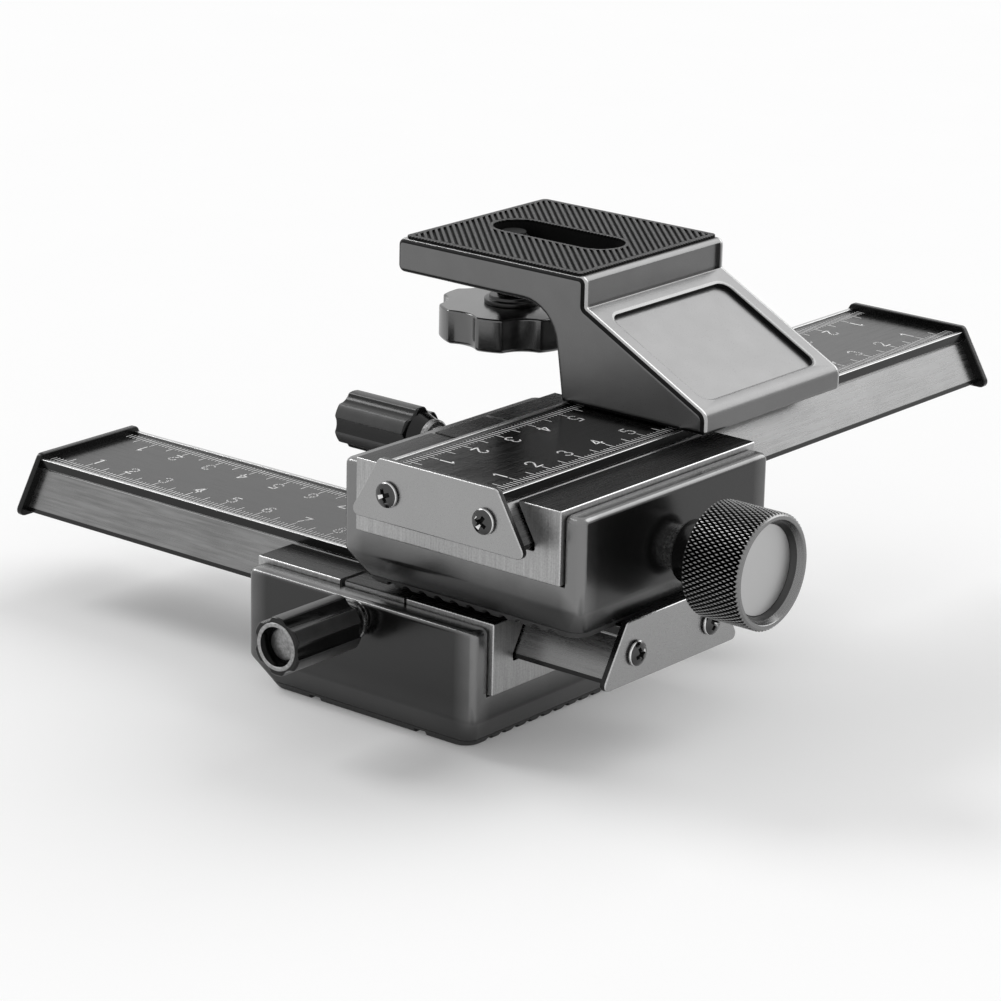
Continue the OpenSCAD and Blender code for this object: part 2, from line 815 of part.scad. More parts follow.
module dowel() {
    color(steel) at_dowel() translate([0, 0, scale_z - dowel_seat])
        pin(dowel_d / 2, dowel_seat + dowel_reach);
}

// Drive

function polar(r, t) = r * [cos(t), sin(t)];
function half_angle(w, r) = asin(w / 2 / r);

module pinion() {
    tip_r = pinion_r + tooth_tip_h;
    root_r = pinion_r - tooth_root_h;
    at_tip = half_angle(tooth_tip_w, tip_r);
    at_root = half_angle(tooth_root_w, root_r);
    linear_extrude(pinion_w) polygon([
        for (i = [0:pinion_teeth - 1]) let (t = full_turn * i / pinion_teeth - quarter_turn) each [
            polar(root_r, t - at_root), polar(tip_r, t - at_tip),
            polar(tip_r, t + at_tip), polar(root_r, t + at_root)
        ]
    ]);
}

module pinion_shaft() {
    color(steel) on_drive() difference() {
        union() {
            translate([0, 0, shaft_near]) pin(shaft_d / 2, knob_floor - run_gap - shaft_near);
            translate([0, 0, pinion_near]) pinion();
        }
        translate([0, 0, clip_v]) ring(clip_d / 2 + overrun, clip_groove_r, clip_t);
    }
}

module shaft_clip() {
    color(steel) on_drive() translate([0, 0, clip_v + fit]) difference() {
        ring(clip_d / 2, clip_groove_r + fit, clip_t - 2 * fit);
        translate([-clip_groove_r / 2, 0, -overrun])
            cube([clip_groove_r, clip_d, clip_t + 2 * overrun]);
    }
}

module shaft_bushing() {
    color(steel) on_drive() translate([0, 0, pocket_far])
        ring(bushing_d / 2, shaft_d / 2 + fit, bushing_end - pocket_far);
}

module at_grub() {
    on_drive() translate([0, 0, collar_v + collar_w / 2]) rotate([-90, 0, 0]) children();
}

module drive_collar() {
    color(plastic) difference() {
        on_drive() translate([0, 0, collar_v])
            ring(collar_d / 2, shaft_d / 2 + fit, collar_w);
        at_grub() cylinder(d = grub_d + 2 * fit, h = collar_d);
    }
}

module drive_set_screw() {
    socket_share = 0.28;
    color(steel) at_grub() translate([0, 0, shaft_d / 2 + fit]) difference() {
        cylinder(d = grub_d, h = (collar_d - shaft_d) / 2 - head_gap);
        translate([0, 0, (collar_d - shaft_d) / 4])
            cylinder(r = grub_d * socket_share, h = collar_d, $fn = 6);
    }
}

module drive_knob() {
    color(anodised) on_drive() rotate_extrude() polygon([
        [shaft_d / 2 + fit, knob_v], [knob_d / 2 - knob_bevel, knob_v],
        [knob_d / 2, knob_v + knob_bevel], [knob_d / 2, knob_end - knob_bevel],
        [knob_d / 2 - knob_bevel, knob_end], [hollow_top_r, knob_end],
        [hollow_foot_r, knob_end - knob_hollow], [hollow_foot_r, knob_floor],
        [shaft_d / 2 + fit, knob_floor]
    ]);
}

module drive_disc() {
    color(pale) on_drive() translate([0, 0, knob_floor]) cylinder(r = disc_r, h = disc_t);
}

// Lock

module lock_screw() {
    color(steel) on_lock() translate([0, 0, lock_tip])
        pin(lock_screw_d / 2, lock_screw_end - lock_tip);
}

module lock_knob() {
    color(plastic) on_lock() difference() {
        union() {
            translate([0, 0, lock_neck_v])
                cylinder(d1 = lock_neck_d, d2 = lock_neck_wide_d, h = lock_neck_len);
            translate([0, 0, lock_grip_v]) linear_extrude(lock_grip_len) difference() {
                circle(d = lock_grip_d);
                for (i = [0:flute_count - 1])
                    rotate([0, 0, quarter_turn + full_turn * (i + 1 / 2) / flute_count])
                        translate([flute_at, 0]) circle(flute_r);
            }
        }
        translate([0, 0, lock_neck_v - overrun])
            cylinder(d = lock_screw_d + 2 * fit, h = lock_screw_end + run_gap - lock_neck_v + overrun);
        translate([0, 0, lock_floor])
            cylinder(d = lock_ring_d + 2 * fit, h = lock_ring_len + overrun);
    }
}

module lock_ring() {
    color(pale) on_lock() translate([0, 0, lock_floor])
        ring(lock_ring_d / 2, lock_ring_d / 2 - lock_ring_wall, lock_ring_len);
}

module lock_cap() {
    color(pale) on_lock() translate([0, 0, lock_floor])
        cylinder(r = lock_ring_d / 2 - lock_ring_wall - fit, h = lock_cap_t);
}

// Bracket

module slot(w, z, h) {
    tip = w / 2 - slot_tip_x;
    root = -slot_root_x - w / 2;
    translate([0, 0, z]) union() {
        translate([tip, 0, 0]) cylinder(d = w, h = h);
        translate([root, 0, 0]) cylinder(d = w, h = h);
        translate([tip, -w / 2, 0]) cube([root - tip, w, h]);
    }
}

module sunk_panel() {
    wide = brk_w - 2 * panel_side;
    translate([-brk_step_x, 0, brk_slope_h]) rotate([0, slope_angle, 0])
        translate([panel_top + panel_len / 2, 0, -panel_depth])
            linear_extrude(panel_depth + overrun)
                polygon(rounded(box_points(panel_len, wide), [for (i = [0:3]) panel_r]));
}

module step_hollow() {
    translate([-brk_step_x - step_depth, step_rib - brk_w / 2, brk_slope_h])
        cube([step_depth + overrun, brk_w - 2 * step_rib, brk_top_h - step_rim - brk_slope_h]);
}

module bracket() {
    color(paint) bracket_place() difference() {
        along_v(brk_w) polygon(rounded([
            [-brk_toe_x, 0], [brk_heel_x, 0], [brk_heel_x, brk_heel_h],
            [-brk_step_x, brk_slope_h], [-brk_step_x, brk_top_h], [-brk_tip_x, brk_top_h],
            [-brk_tip_x, under_h], [-brk_toe_x - brk_lean, under_h]
        ], [0, brk_heel_r, brk_heel_r, 0, brk_edge_r, brk_edge_r, brk_edge_r, brk_web_r]));
        sunk_panel();
        step_hollow();
        slot(slot_w, ledge_z, brk_plate_t);
        slot(slot_neck_w, under_h - overrun, brk_plate_t);
        rotate([0, 0, -90]) at_bracket_screws() translate([0, 0, -overrun])
            cylinder(d = brk_screw_d + 2 * fit, h = brk_screw_reach + run_gap + overrun);
    }
}

module bracket_screws() {
    at_bracket_screws() translate([0, 0, brk_head_z])
        socket_screw(brk_screw_d, brk_head_d, brk_head_h, rail_h - brk_seat_z + brk_screw_reach);
}

module platform_pad() {
    pad_l = brk_tip_x - brk_step_x - 2 * (brk_edge_r + rubber_inset - brk_edge_r / 2);
    pad_w = brk_w - 2 * rubber_inset;
    color(rubber) bracket_place() difference() {
        translate([-(brk_tip_x + brk_step_x) / 2, 0, brk_top_h]) linear_extrude(rubber_t)
            polygon(rounded(box_points(pad_l, pad_w), [for (i = [0:3]) rubber_r]));
        slot(slot_w, brk_top_h - overrun, rubber_t + 2 * overrun);
    }
}

// Camera screw

module slot_washer() {
    color(steel) camera_place() translate([0, 0, cam_washer_z])
        ring(cam_ring_d / 2, cam_d / 2 + pass_gap, cam_ring_t);
}

module screw_clip() {
    color(steel) camera_place() translate([0, 0, cam_clip_z])
        ring(cam_ring_d / 2, cam_groove_r + fit, cam_ring_t);
}

module camera_screw() {
    foot = thumb_z + thumb_floor;
    color(steel) camera_place() difference() {
        translate([0, 0, foot]) pin(cam_d / 2, cam_tip_z - foot);
        translate([0, 0, cam_clip_z - fit])
            ring(cam_d / 2 + overrun, cam_groove_r, cam_ring_t + 2 * fit);
    }
}

module camera_screw_collar() {
    color(plastic) camera_place() translate([0, 0, thumb_top])
        ring(cam_collar_d / 2, cam_d / 2 + fit, cam_collar_h);
}

module thumb_knob() {
    color(paint) camera_place() translate([0, 0, thumb_z]) difference() {
        linear_extrude(thumb_h) difference() {
            circle(d = thumb_d);
            for (i = [0:lobe_count - 1])
                rotate([0, 0, lobe_angle + full_turn * (i + 1 / 2) / lobe_count])
                    translate([lobe_at, 0]) circle(lobe_hollow_r);
        }
        translate([0, 0, thumb_floor])
            cylinder(d = cam_d + 2 * fit, h = thumb_h);
    }
}

// The lower stage stands in the part's own frame

module lower_rail() { rail_place(lower_rail_at) bolted_rail(); }
module lower_rack() { rail_place(lower_rail_at) rack(lower_rail_at); }
module lower_end_plate(side) { rail_place(lower_rail_at) end_plate(side); }
module lower_plate_screws() { rail_place(lower_rail_at) plate_screws(); }
module carriage_bolt() { rail_place(lower_rail_at) bolt(); }
module carriage_dowel() { rail_place(lower_rail_at) dowel(); }

// The upper rail rides in the upper stage's frame

module upper_rail_place() { upper_place() rail_place(upper_rail_at) children(); }

carriage();  // lower_carriage
clamp_shoe();  // lower_clamp_shoe
base_pad();  // lower_base_pad
thread_insert();  // lower_thread_insert
lower_rail();
lower_rack();
lower_end_plate(-1);  // lower_end_plate_a
lower_end_plate(1);  // lower_end_plate_b
lower_plate_screws();
pinion_shaft();  // lower_pinion_shaft
shaft_bushing();  // lower_shaft_bushing
shaft_clip();  // lower_shaft_clip
drive_collar();  // lower_drive_collar
drive_set_screw();  // lower_drive_set_screw
drive_knob();  // lower_drive_knob
drive_disc();  // lower_drive_disc
lock_screw();  // lower_lock_screw
lock_knob();  // lower_lock_knob
lock_ring();  // lower_lock_ring
lock_cap();  // lower_lock_cap
carriage_bolt();
carriage_dowel();
upper_place() carriage();  // upper_carriage
upper_place() clamp_shoe();  // upper_clamp_shoe
upper_place() base_pad();  // upper_base_pad
upper_place() thread_insert();  // upper_thread_insert
upper_rail_place() bracket_rail();  // upper_rail
upper_rail_place() rack(upper_rail_at);  // upper_rack
upper_rail_place() end_plate(-1);  // upper_end_plate_a
upper_rail_place() end_plate(1);  // upper_end_plate_b
upper_rail_place() plate_screws();  // upper_plate_screws
upper_place() pinion_shaft();  // upper_pinion_shaft
upper_place() shaft_bushing();  // upper_shaft_bushing
upper_place() shaft_clip();  // upper_shaft_clip
upper_place() drive_collar();  // upper_drive_collar
upper_place() drive_set_screw();  // upper_drive_set_screw
upper_place() drive_knob();  // upper_drive_knob
upper_place() drive_disc();  // upper_drive_disc
upper_place() lock_screw();  // upper_lock_screw
upper_place() lock_knob();  // upper_lock_knob
upper_place() lock_ring();  // upper_lock_ring
upper_place() lock_cap();  // upper_lock_cap
bracket();
upper_rail_place() bracket_screws();
platform_pad();
slot_washer();
screw_clip();
camera_screw();
camera_screw_collar();
thumb_knob();
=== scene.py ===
"""The dressed look of a two-axis macro focusing rail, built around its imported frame."""
import math

import bmesh
import bpy
from bpy.props import FloatProperty, FloatVectorProperty, IntProperty, PointerProperty
from mathutils import Matrix, Vector


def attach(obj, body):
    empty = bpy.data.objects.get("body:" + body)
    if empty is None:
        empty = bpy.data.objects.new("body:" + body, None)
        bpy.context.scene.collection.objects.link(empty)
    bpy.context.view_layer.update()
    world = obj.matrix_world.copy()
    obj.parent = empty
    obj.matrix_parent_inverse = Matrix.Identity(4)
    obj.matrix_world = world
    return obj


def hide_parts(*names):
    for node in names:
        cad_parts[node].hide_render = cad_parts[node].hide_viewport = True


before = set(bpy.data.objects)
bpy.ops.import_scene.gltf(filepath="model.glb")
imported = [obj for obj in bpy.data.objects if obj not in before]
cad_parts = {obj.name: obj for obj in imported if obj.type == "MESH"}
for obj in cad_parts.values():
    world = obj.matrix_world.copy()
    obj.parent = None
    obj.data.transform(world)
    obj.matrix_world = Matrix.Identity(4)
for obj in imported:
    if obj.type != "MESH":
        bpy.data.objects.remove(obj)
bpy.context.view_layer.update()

bl_info = {
    "name": "Macro focusing rail",
    "version": (1, 0, 0),
    "blender": (4, 5, 0),
    "location": "View3D > Sidebar > Focusing rail",
    "description": "Builds the knobs, rails, carriages and bracket of a macro focusing rail",
    "category": "Add Mesh",
}

MM = 0.001

# Sizes of the solids in millimetres, as the part's source gives them

# Rail bar: length, height, half widths at top, neck and foot, and where each begins
RAIL_LEN, RAIL_H = 159, 11
RAIL_TOP, RAIL_NECK, RAIL_FOOT = 14.9, 14.5, 18.85
RAIL_SIDE_Z, RAIL_NECK_Z, RAIL_FOOT_Z = 9.05, 8.7, 1.1
# Lips beside the scales, rack and pinion under them
LIP_H, LIP_W = 0.4, 1.0
RACK_HALF, RACK_TOP_Z, PINION_V = 69.6, 4.2, 11
# Painted casting: outline, roundings, leaning foot, top of its walls
CAR_L, CAR_W = 59.8, 60
EDGE_R, RIM_R = 1.6, 1.2
FOOT_Z, FOOT_SOFT, FOOT_L, FOOT_W = 6.9, 0.6, 3.8, 3.2
WALL_Z, PAD_T = 25.75, 1.6
# Machined block with its jaws and the clamp shoe's slits
BLOCK_L, BLOCK_W, BLOCK_Z = 62.2, 51.2, 11.9
FLOOR_Z, JAW_Z, SHOE_L, SLIT_W = 17.8, 26.85, 15.6, 1.0
# Heights of a stage, its rail, its drive and its lock
STAGE_H, RAIL_Z, DRIVE_H, LOCK_H = 28.75, 18.15, 13.3, 22.2
# Channel: half width at the foot, and at the top by the flank's lean
CHANNEL_FOOT, CHANNEL_FOOT_Z = 19.29, RAIL_Z + RAIL_FOOT_Z
FLANK_LEAN = (RAIL_FOOT - RAIL_NECK) / (RAIL_NECK_Z - RAIL_FOOT_Z)
CHANNEL_TOP = CHANNEL_FOOT - FLANK_LEAN * (JAW_Z - CHANNEL_FOOT_Z)
# Places of the upper stage, the bracket and the camera screw, and the platform's top
UPPER_AT, BRACKET_Y, CAM_X, TOP_H = (25.65, 0), 43.95, 47.8, 26.9
# A direction half way between two axes
DIAGONAL = 0.7071


def shift(x, y, z):
    """A move by millimetres."""
    return Matrix.Translation((x * MM, y * MM, z * MM))


def turn(axis, degrees):
    """A turn about one axis of the frame."""
    return Matrix.Rotation(math.radians(degrees), 4, axis)


STAGE = {"lower": Matrix.Identity(4),
         "upper": shift(*UPPER_AT, STAGE_H) @ turn("Z", -90)}
RAIL_AT = {"lower": -25.6, "upper": -43.95}
CARRIER = {"lower": "base", "upper": "lower_slide"}
SLIDER = {"lower": "lower_slide", "upper": "upper_slide"}
BRACKET_PLACE = shift(UPPER_AT[0], BRACKET_Y, 2 * STAGE_H + LIP_H)
CAMERA_PLACE = BRACKET_PLACE @ shift(-CAM_X, 0, 0)


def rail_place(level):
    """Where a level's rail bar stands."""
    return STAGE[level] @ shift(RAIL_AT[level], 0, RAIL_Z)


def drive_place(level):
    """The drive axis of a level, with z outwards."""
    return STAGE[level] @ shift(0, 0, DRIVE_H) @ turn("X", -90)


def lock_place(level):
    """The lock axis of a level, with z outwards."""
    return STAGE[level] @ shift(0, 0, LOCK_H) @ turn("X", 90)


# Shapes


class Shape:
    """Points and faces in millimetres, with the number of a finish for each face."""

    def __init__(self):
        self.points = []
        self.faces = []
        self.kinds = []

    def add(self, points, faces, kinds):
        """Adds a patch, whose faces count its own points."""
        first = len(self.points)
        self.points.extend(tuple(p) for p in points)
        self.faces.extend([first + i for i in face] for face in faces)
        self.kinds.extend(kinds)
        return self

    def join(self, other, place=None):
        """Adds another shape, moved in millimetres if a place is given."""
        points = other.points
        if place is not None:
            points = [place @ Vector(p) for p in points]
        return self.add(points, other.faces, other.kinds)

    def rings(self, rings, kind=0, caps=(True, True), closed=False):
        """Joins rings of equally many points, and closes the ends."""
        count, rows = len(rings[0]), len(rings)
        points = [p for ring in rings for p in ring]
        faces = []
        for k in range(rows if closed else rows - 1):
            a, b = k * count, (k + 1) % rows * count
            faces += [[a + i, a + (i + 1) % count, b + (i + 1) % count, b + i]
                      for i in range(count)]
        if not closed:
            if caps[0]:
                faces.append(list(range(count))[::-1])
            if caps[1]:
                faces.append([(rows - 1) * count + i for i in range(count)])
        return self.add(points, faces, [kind] * len(faces))

    def tidy(self, edge=0.0, steps=2, angle=35, width=1e-4):
        """Welds the points, turns the faces outwards and rounds the sharp edges."""
        mesh = self.mesh("work", 1.0)
        work = bmesh.new()
        work.from_mesh(mesh)
        bmesh.ops.remove_doubles(work, verts=work.verts, dist=width)
        bmesh.ops.dissolve_degenerate(work, edges=work.edges, dist=width)
        bmesh.ops.recalc_face_normals(work, faces=work.faces)
        if edge:
            sharp = [e for e in work.edges if len(e.link_faces) == 2
                     and e.calc_face_angle(0) > math.radians(angle)]
            bmesh.ops.bevel(work, geom=sharp, offset=edge, offset_type="OFFSET",
                            segments=steps, profile=0.5, affect="EDGES", clamp_overlap=True)
            bmesh.ops.recalc_face_normals(work, faces=work.faces)
        work.to_mesh(mesh)
        work.free()
        return self.read(mesh)

    def read(self, mesh):
        """Takes its points and faces back from a mesh."""
        self.points = [tuple(v.co) for v in mesh.vertices]
        self.faces = [list(p.vertices) for p in mesh.polygons]
        self.kinds = [p.material_index for p in mesh.polygons]
        bpy.data.meshes.remove(mesh)
        return self

    def mesh(self, name, scale):
        """A mesh of this shape."""
        mesh = bpy.data.meshes.new(name)
        mesh.from_pydata([Vector(p) * scale for p in self.points], [], self.faces)
        mesh.polygons.foreach_set("material_index", self.kinds)
        mesh.update()
        return mesh

    def carve(self, tool, operation="DIFFERENCE"):
        """Cuts another shape out of this one, or keeps what they share."""
        kinds = max(self.kinds + tool.kinds) + 1
        body, cutter = [put(n, s.mesh(n, 1.0))
                        for n, s in (("work_body", self), ("work_tool", tool))]
        for each in (body, cutter):
            for _ in range(kinds):
                each.data.materials.append(None)
        cut = body.modifiers.new("cut", "BOOLEAN")
        cut.operation, cut.solver, cut.object = operation, "EXACT", cutter
        cut.use_self = False
        graph = bpy.context.evaluated_depsgraph_get()
        result = bpy.data.meshes.new_from_object(body.evaluated_get(graph))
        old = [body.data, cutter.data]
        for each in (body, cutter):
            bpy.data.objects.remove(each)
        for each in old:
            bpy.data.meshes.remove(each)
        return self.read(result)

    def paint(self, rule):
        """Numbers each face's finish by a rule on its centre and its normal."""
        mesh = self.mesh("work", 1.0)
        self.kinds = [rule(p.center, p.normal) for p in mesh.polygons]
        bpy.data.meshes.remove(mesh)
        return self


def put(name, data):
    """A new object in the scene."""
    obj = bpy.data.objects.new(name, data)
    bpy.context.scene.collection.objects.link(obj)
    return obj


def piece(name, shape, finishes, place, body, nodes=(), smooth=32):
    """A finished piece that rides on its body and stands for its nodes."""
    mesh = shape.mesh(name, MM)
    for key in finishes.split():
        mesh.materials.append(finish(key))
    mesh.shade_smooth()
    mesh.set_sharp_from_angle(angle=math.radians(smooth))
    obj = put(name, mesh)
    even = obj.modifiers.new("even_normals", "WEIGHTED_NORMAL")
    even.keep_sharp = True
    graph = bpy.context.evaluated_depsgraph_get()
    done = bpy.data.meshes.new_from_object(obj.evaluated_get(graph))
    obj.modifiers.clear()
    obj.data = done
    bpy.data.meshes.remove(mesh)
    done.name = name
    obj.matrix_world = place
    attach(obj, body)
    if nodes:
        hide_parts(*nodes)
    return obj


def corner(before, at, after, radius, inset, steps):
    """The rounded corner at one point of an outline that is taken in by inset."""
    least, straight = 0.02, 1e-6
    a, p, b = (Vector(v) for v in (before, at, after))
    da, db = (p - a).normalized(), (b - p).normalized()
    cross = da.x * db.y - da.y * db.x
    na, nb = Vector((-da.y, da.x)), Vector((-db.y, db.x))
    p = p + (na + nb) * inset / (1 + na.dot(nb))
    sign = 1 if cross > 0 else -1
    if radius <= 0 or abs(cross) < straight:
        return [p.copy() for _ in range(steps + 1)]
    radius = max(radius - sign * inset, least)
    half = math.acos(max(-1, min(1, -da.dot(db)))) / 2
    run = radius / math.tan(half)
    mid = p + (db - da).normalized() * radius / math.sin(half)
    start = p - da * run - mid
    stop = p + db * run - mid
    t0 = math.atan2(start.y, start.x)
    t1 = math.atan2(stop.y, stop.x)
    sweep = (t1 - t0 + math.pi) % math.tau - math.pi
    return [mid + Vector((math.cos(t0 + sweep * i / steps),
                          math.sin(t0 + sweep * i / steps))) * radius
            for i in range(steps + 1)]


def outline(points, radii, inset=0.0, steps=6):
    """An anticlockwise outline with rounded corners, taken in by inset."""
    count = len(points)
    if not isinstance(radii, (list, tuple)):
        radii = [radii] * count
    return [q for i in range(count) for q in corner(
        points[i - 1], points[i], points[(i + 1) % count], radii[i], inset, steps)]


def box_points(length, width):
    """The four corners of a centred rectangle."""
    x, y = length / 2, width / 2
    return [(-x, -y), (x, -y), (x, y), (-x, y)]


def edge_levels(low, high, first, last, steps=4):
    """Insets and heights of a piece whose two ends are rounded."""
    quarter = [math.pi / 2 * i / steps for i in range(steps + 1)]
    levels = [(first * (1 - math.sin(t)), low + first * (1 - math.cos(t))) for t in quarter]
    levels += [(last * (1 - math.cos(t)), high - last * (1 - math.sin(t))) for t in quarter]
    return levels


def prism(points, radii, low, high, edge=0.0, axis="Z", steps=6, edge_steps=3):
    """A prism of a rounded outline whose two end edges are rounded too."""
    levels = [(0, low), (0, high)]
    if edge:
        levels = edge_levels(low, high, edge, edge, edge_steps)
    rings = []
    for inset, z in levels:
        flat = outline(points, radii, inset, steps=steps)
        if axis == "X":
            rings.append([(z, p[0], p[1]) for p in flat])
        elif axis == "Y":
            rings.append([(p[0], z, p[1]) for p in flat])
        else:
            rings.append([(p[0], p[1], z) for p in flat])
    return Shape().rings(rings)


def block(low, high):
    """A plain box, used to cut with."""
    (a, b, c), (d, e, f) = low, high
    return Shape().rings([[(a, b, z), (d, b, z), (d, e, z), (a, e, z)] for z in (c, f)])


def around(steps):
    """Evenly spaced angles of a full turn."""
    return [math.tau * i / steps for i in range(steps)]


def polar(radius, angle, z):
    """A point at a distance and a direction from the z axis."""
    return (radius * math.cos(angle), radius * math.sin(angle), z)


def revolve(profile, steps=96, closed=True):
    """A turned piece from its radii and heights; a closed profile makes a ring."""
    rings = [[polar(r, t, z) for t in around(steps)] for r, z in profile]
    return Shape().rings(rings, caps=(False, False), closed=closed)


def drill(radius, low, high, steps=40, place=None):
    """A plain round bar from one height to another, used to cut with."""
    rod = revolve([(0, low), (radius, low), (radius, high), (0, high)], steps)
    return Shape().join(rod, place).tidy()


def soft_ring(outer, inner, low, high, edge, steps=3):
    """A turned ring with rounded edges, or a disc if it has no hole."""
    box = [(inner, low), (outer, low), (outer, high), (inner, high)]
    radii = edge if inner else [0, edge, edge, 0]
    return revolve(outline(box, radii, steps=steps)).tidy()


def wavy(radius_at, levels, steps):
    """A grip whose radius changes around its axis, taken in at each level."""
    rings = [[polar(radius_at(t) - inset, t, z) for t in around(steps)]
             for inset, z in levels]
    return Shape().rings(rings).tidy()


def thread(radius, depth, pitch, low, high, sides=36):
    """A screw thread between two heights, with tapered ends."""
    per_turn = 12
    count = max(2, int((high - low) / pitch * per_turn))
    rings = []
    for k in range(count + 1):
        z = low + (high - low) * k / count
        ring = []
        for i, t in enumerate(around(sides)):
            phase = (z / pitch - i / sides) % 1
            crest = min(1, max(0, 1.5 - abs(phase - 0.5) * 4))
            end = min(1, (z - low) / pitch * 2, (high - z) / pitch * 2)
            ring.append(polar(radius - depth * (1 - crest * end), t, z))
        rings.append(ring)
    return Shape().rings(rings).tidy()


# Finishes


class Wire:
    """An output of a shader's node that takes part in sums like a number."""

    def __init__(self, finish, socket):
        self.finish = finish
        self.socket = socket

    def _with(self, operation, first, second):
        return self.finish.node("ShaderNodeMath", {0: first, 1: second}, operation=operation)

    def __add__(self, other):
        return self._with("ADD", self, other)

    __radd__ = __add__

    def __rsub__(self, other):
        return self._with("SUBTRACT", other, self)

    def __mul__(self, other):
        return self._with("MULTIPLY", self, other)

    __rmul__ = __mul__


class Finish:
    """The shader of one kind of surface, or of the world if that is given."""

    def __init__(self, name, owner=None):
        self.owner = owner or bpy.data.materials.new(name)
        self.owner.use_nodes = True
        self.tree = self.owner.node_tree
        self.tree.nodes.clear()

    def node(self, kind, inputs=None, output=0, **settings):
        """Adds a node with its inputs and settings, and gives one of its outputs."""
        made = self.tree.nodes.new(kind)
        for key, value in settings.items():
            setattr(made, key, value)
        for key, value in (inputs or {}).items():
            if isinstance(value, Wire):
                self.tree.links.new(value.socket, made.inputs[key])
            else:
                made.inputs[key].default_value = value
        return Wire(self, made.outputs[output]) if made.outputs else None

    def coordinates(self):
        """The surface's own coordinates, in metres, which move with the piece."""
        return self.node("ShaderNodeTexCoord", output="Object")

    def spans(self):
        """How far a point lies from the piece's middle along each axis, in mm."""
        far = self.node("ShaderNodeVectorMath", {0: self.coordinates()}, operation="ABSOLUTE")
        return [self.node("ShaderNodeSeparateXYZ", {"Vector": far}, axis) * (1 / MM)
                for axis in "XYZ"]

    def radius(self):
        """How far a point lies from the piece's own z axis, in mm."""
        flat = self.node("ShaderNodeVectorMath",
                         {0: self.coordinates(), 1: (1 / MM, 1 / MM, 0)}, operation="MULTIPLY")
        return self.node("ShaderNodeVectorMath", {0: flat}, "Value", operation="LENGTH")

    def noise(self, size, detail=3.0, stretch=None):
        """Noise with features of a size in millimetres, stretched along an axis."""
        at = self.coordinates()
        if stretch:
            at = self.node("ShaderNodeMapping", {"Vector": at, "Scale": stretch})
        return self.node("ShaderNodeTexNoise", {
            "Vector": at, "Scale": 1 / (size * MM), "Detail": detail, "Roughness": 0.6})

    def ramp(self, value, low, high, first=0.0, last=1.0):
        """A value taken from one span to another, and held at its ends."""
        return self.node("ShaderNodeMapRange", {
            "Value": value, "From Min": low, "From Max": high,
            "To Min": first, "To Max": last})

    def spread(self, noise, first=0.0, last=1.0):
        """The span where most of a noise lies, taken to another."""
        return self.ramp(noise, 0.3, 0.7, first, last)

    def blend(self, share, first, second):
        """A mix of two colours."""
        return self.node("ShaderNodeMix", {0: share, 6: first, 7: second}, 2,
                         data_type="RGBA")

    def shades(self, share, color, dark, light):
        """A mix of a darker and a lighter shade of one colour."""
        return self.blend(share, scaled(color, dark), scaled(color, light))

    def bump(self, height, strength, distance):
        """A surface roughened by a height."""
        return self.node("ShaderNodeBump", {
            "Height": height, "Strength": strength, "Distance": distance * MM})

    def seen(self):
        """Above 0 for rays that the camera sees, straight, mirrored or through glass."""
        camera, mirrored, clear = [
            self.node("ShaderNodeLightPath", output=f"Is {kind} Ray")
            for kind in ("Camera", "Glossy", "Transmission")]
        return camera + mirrored + clear

    def shade(self, **inputs):
        """Ends the material in one surface shader."""
        names = {key.replace("_", " ").title().replace("Ior", "IOR"): value
                 for key, value in inputs.items()}
        shader = self.node("ShaderNodeBsdfPrincipled", names)
        self.node("ShaderNodeOutputMaterial", {"Surface": shader})
        return self.owner


def scaled(color, share=1.0):
    """A colour with its alpha, made lighter or darker."""
    return (color[0] * share, color[1] * share, color[2] * share, 1)


METALLIC_PAINT = 0.92


def cast_paint(color, painted_sheen):
    """Black metallic paint over a casting, with painted reflections: lighter along its corners,
    top rims and end walls and towards its foot, and darker on the foot as painted shade.
    """
    f = Finish("satin_paint")
    x, y, z = f.spans()
    end, side, fade_from = CAR_L / 2, CAR_W / 2, 24.7
    # Painted reflection: the corners' rounding is darker in its middle and lighter beside it
    bend = f.ramp(x, end - 1.0, end - 0.4) * f.ramp(y, side - 1.0, side - 0.4)
    corners = f.ramp(x, fade_from, end) * f.ramp(y, fade_from, side) * (1 - bend * 0.9)
    # Painted highlight along the top rim, painted reflection on the end walls under the jaws and
    # towards the foot
    rim = f.ramp(z, WALL_Z - 0.9, WALL_Z - 0.25)
    sill = f.ramp(x, end - 1.3, end - 0.5) * f.ramp(z, 6.5, BLOCK_Z - 0.3)
    low = f.ramp(z, 11, 4, 0, 0.16)
    # Painted shade: the leaning foot is darker
    foot = f.ramp(z, 2, 6.5, 0.25, 1.0)
    grain, cloud = f.noise(0.28, 2), f.noise(7.0, 2)
    share = (corners * 0.8 + rim * 0.7 + sill * 0.9 + low) * foot
    tone = f.blend(share * f.spread(cloud, 0.85, 1.1), scaled(color), scaled(painted_sheen))
    return f.shade(base_color=tone, metallic=METALLIC_PAINT, specular_ior_level=0.4,
                   roughness=f.spread(grain, 0.19, 0.25), normal=f.bump(grain, 0.2, 0.012))


def bracket_paint(name, color, rough):
    """Satin metallic paint with a fine grain."""
    f = Finish(name)
    cloud, grain = f.noise(8.0, 2), f.noise(0.25, 2)
    tone = f.shades(f.ramp(cloud + grain * 0.3, 0.4, 0.9), color, 0.95, 1.05)
    return f.shade(base_color=tone, metallic=METALLIC_PAINT,
                   roughness=f.spread(grain, rough - 0.03, rough + 0.05),
                   normal=f.bump(grain, 0.25, 0.015))


def machined(color):
    """Bare machined metal, granular with fine tool lines."""
    f = Finish("machined_face")
    grain, lines = f.noise(0.35, 4), f.noise(0.3, 2, stretch=(1.0, 1.0, 0.04))
    both = grain * 0.6 + lines * 0.4
    tone = f.shades(f.spread(both), color, 0.7, 1.3)
    return f.shade(base_color=tone, metallic=1.0, roughness=f.spread(grain, 0.32, 0.5),
                   normal=f.bump(both, 0.5, 0.03))


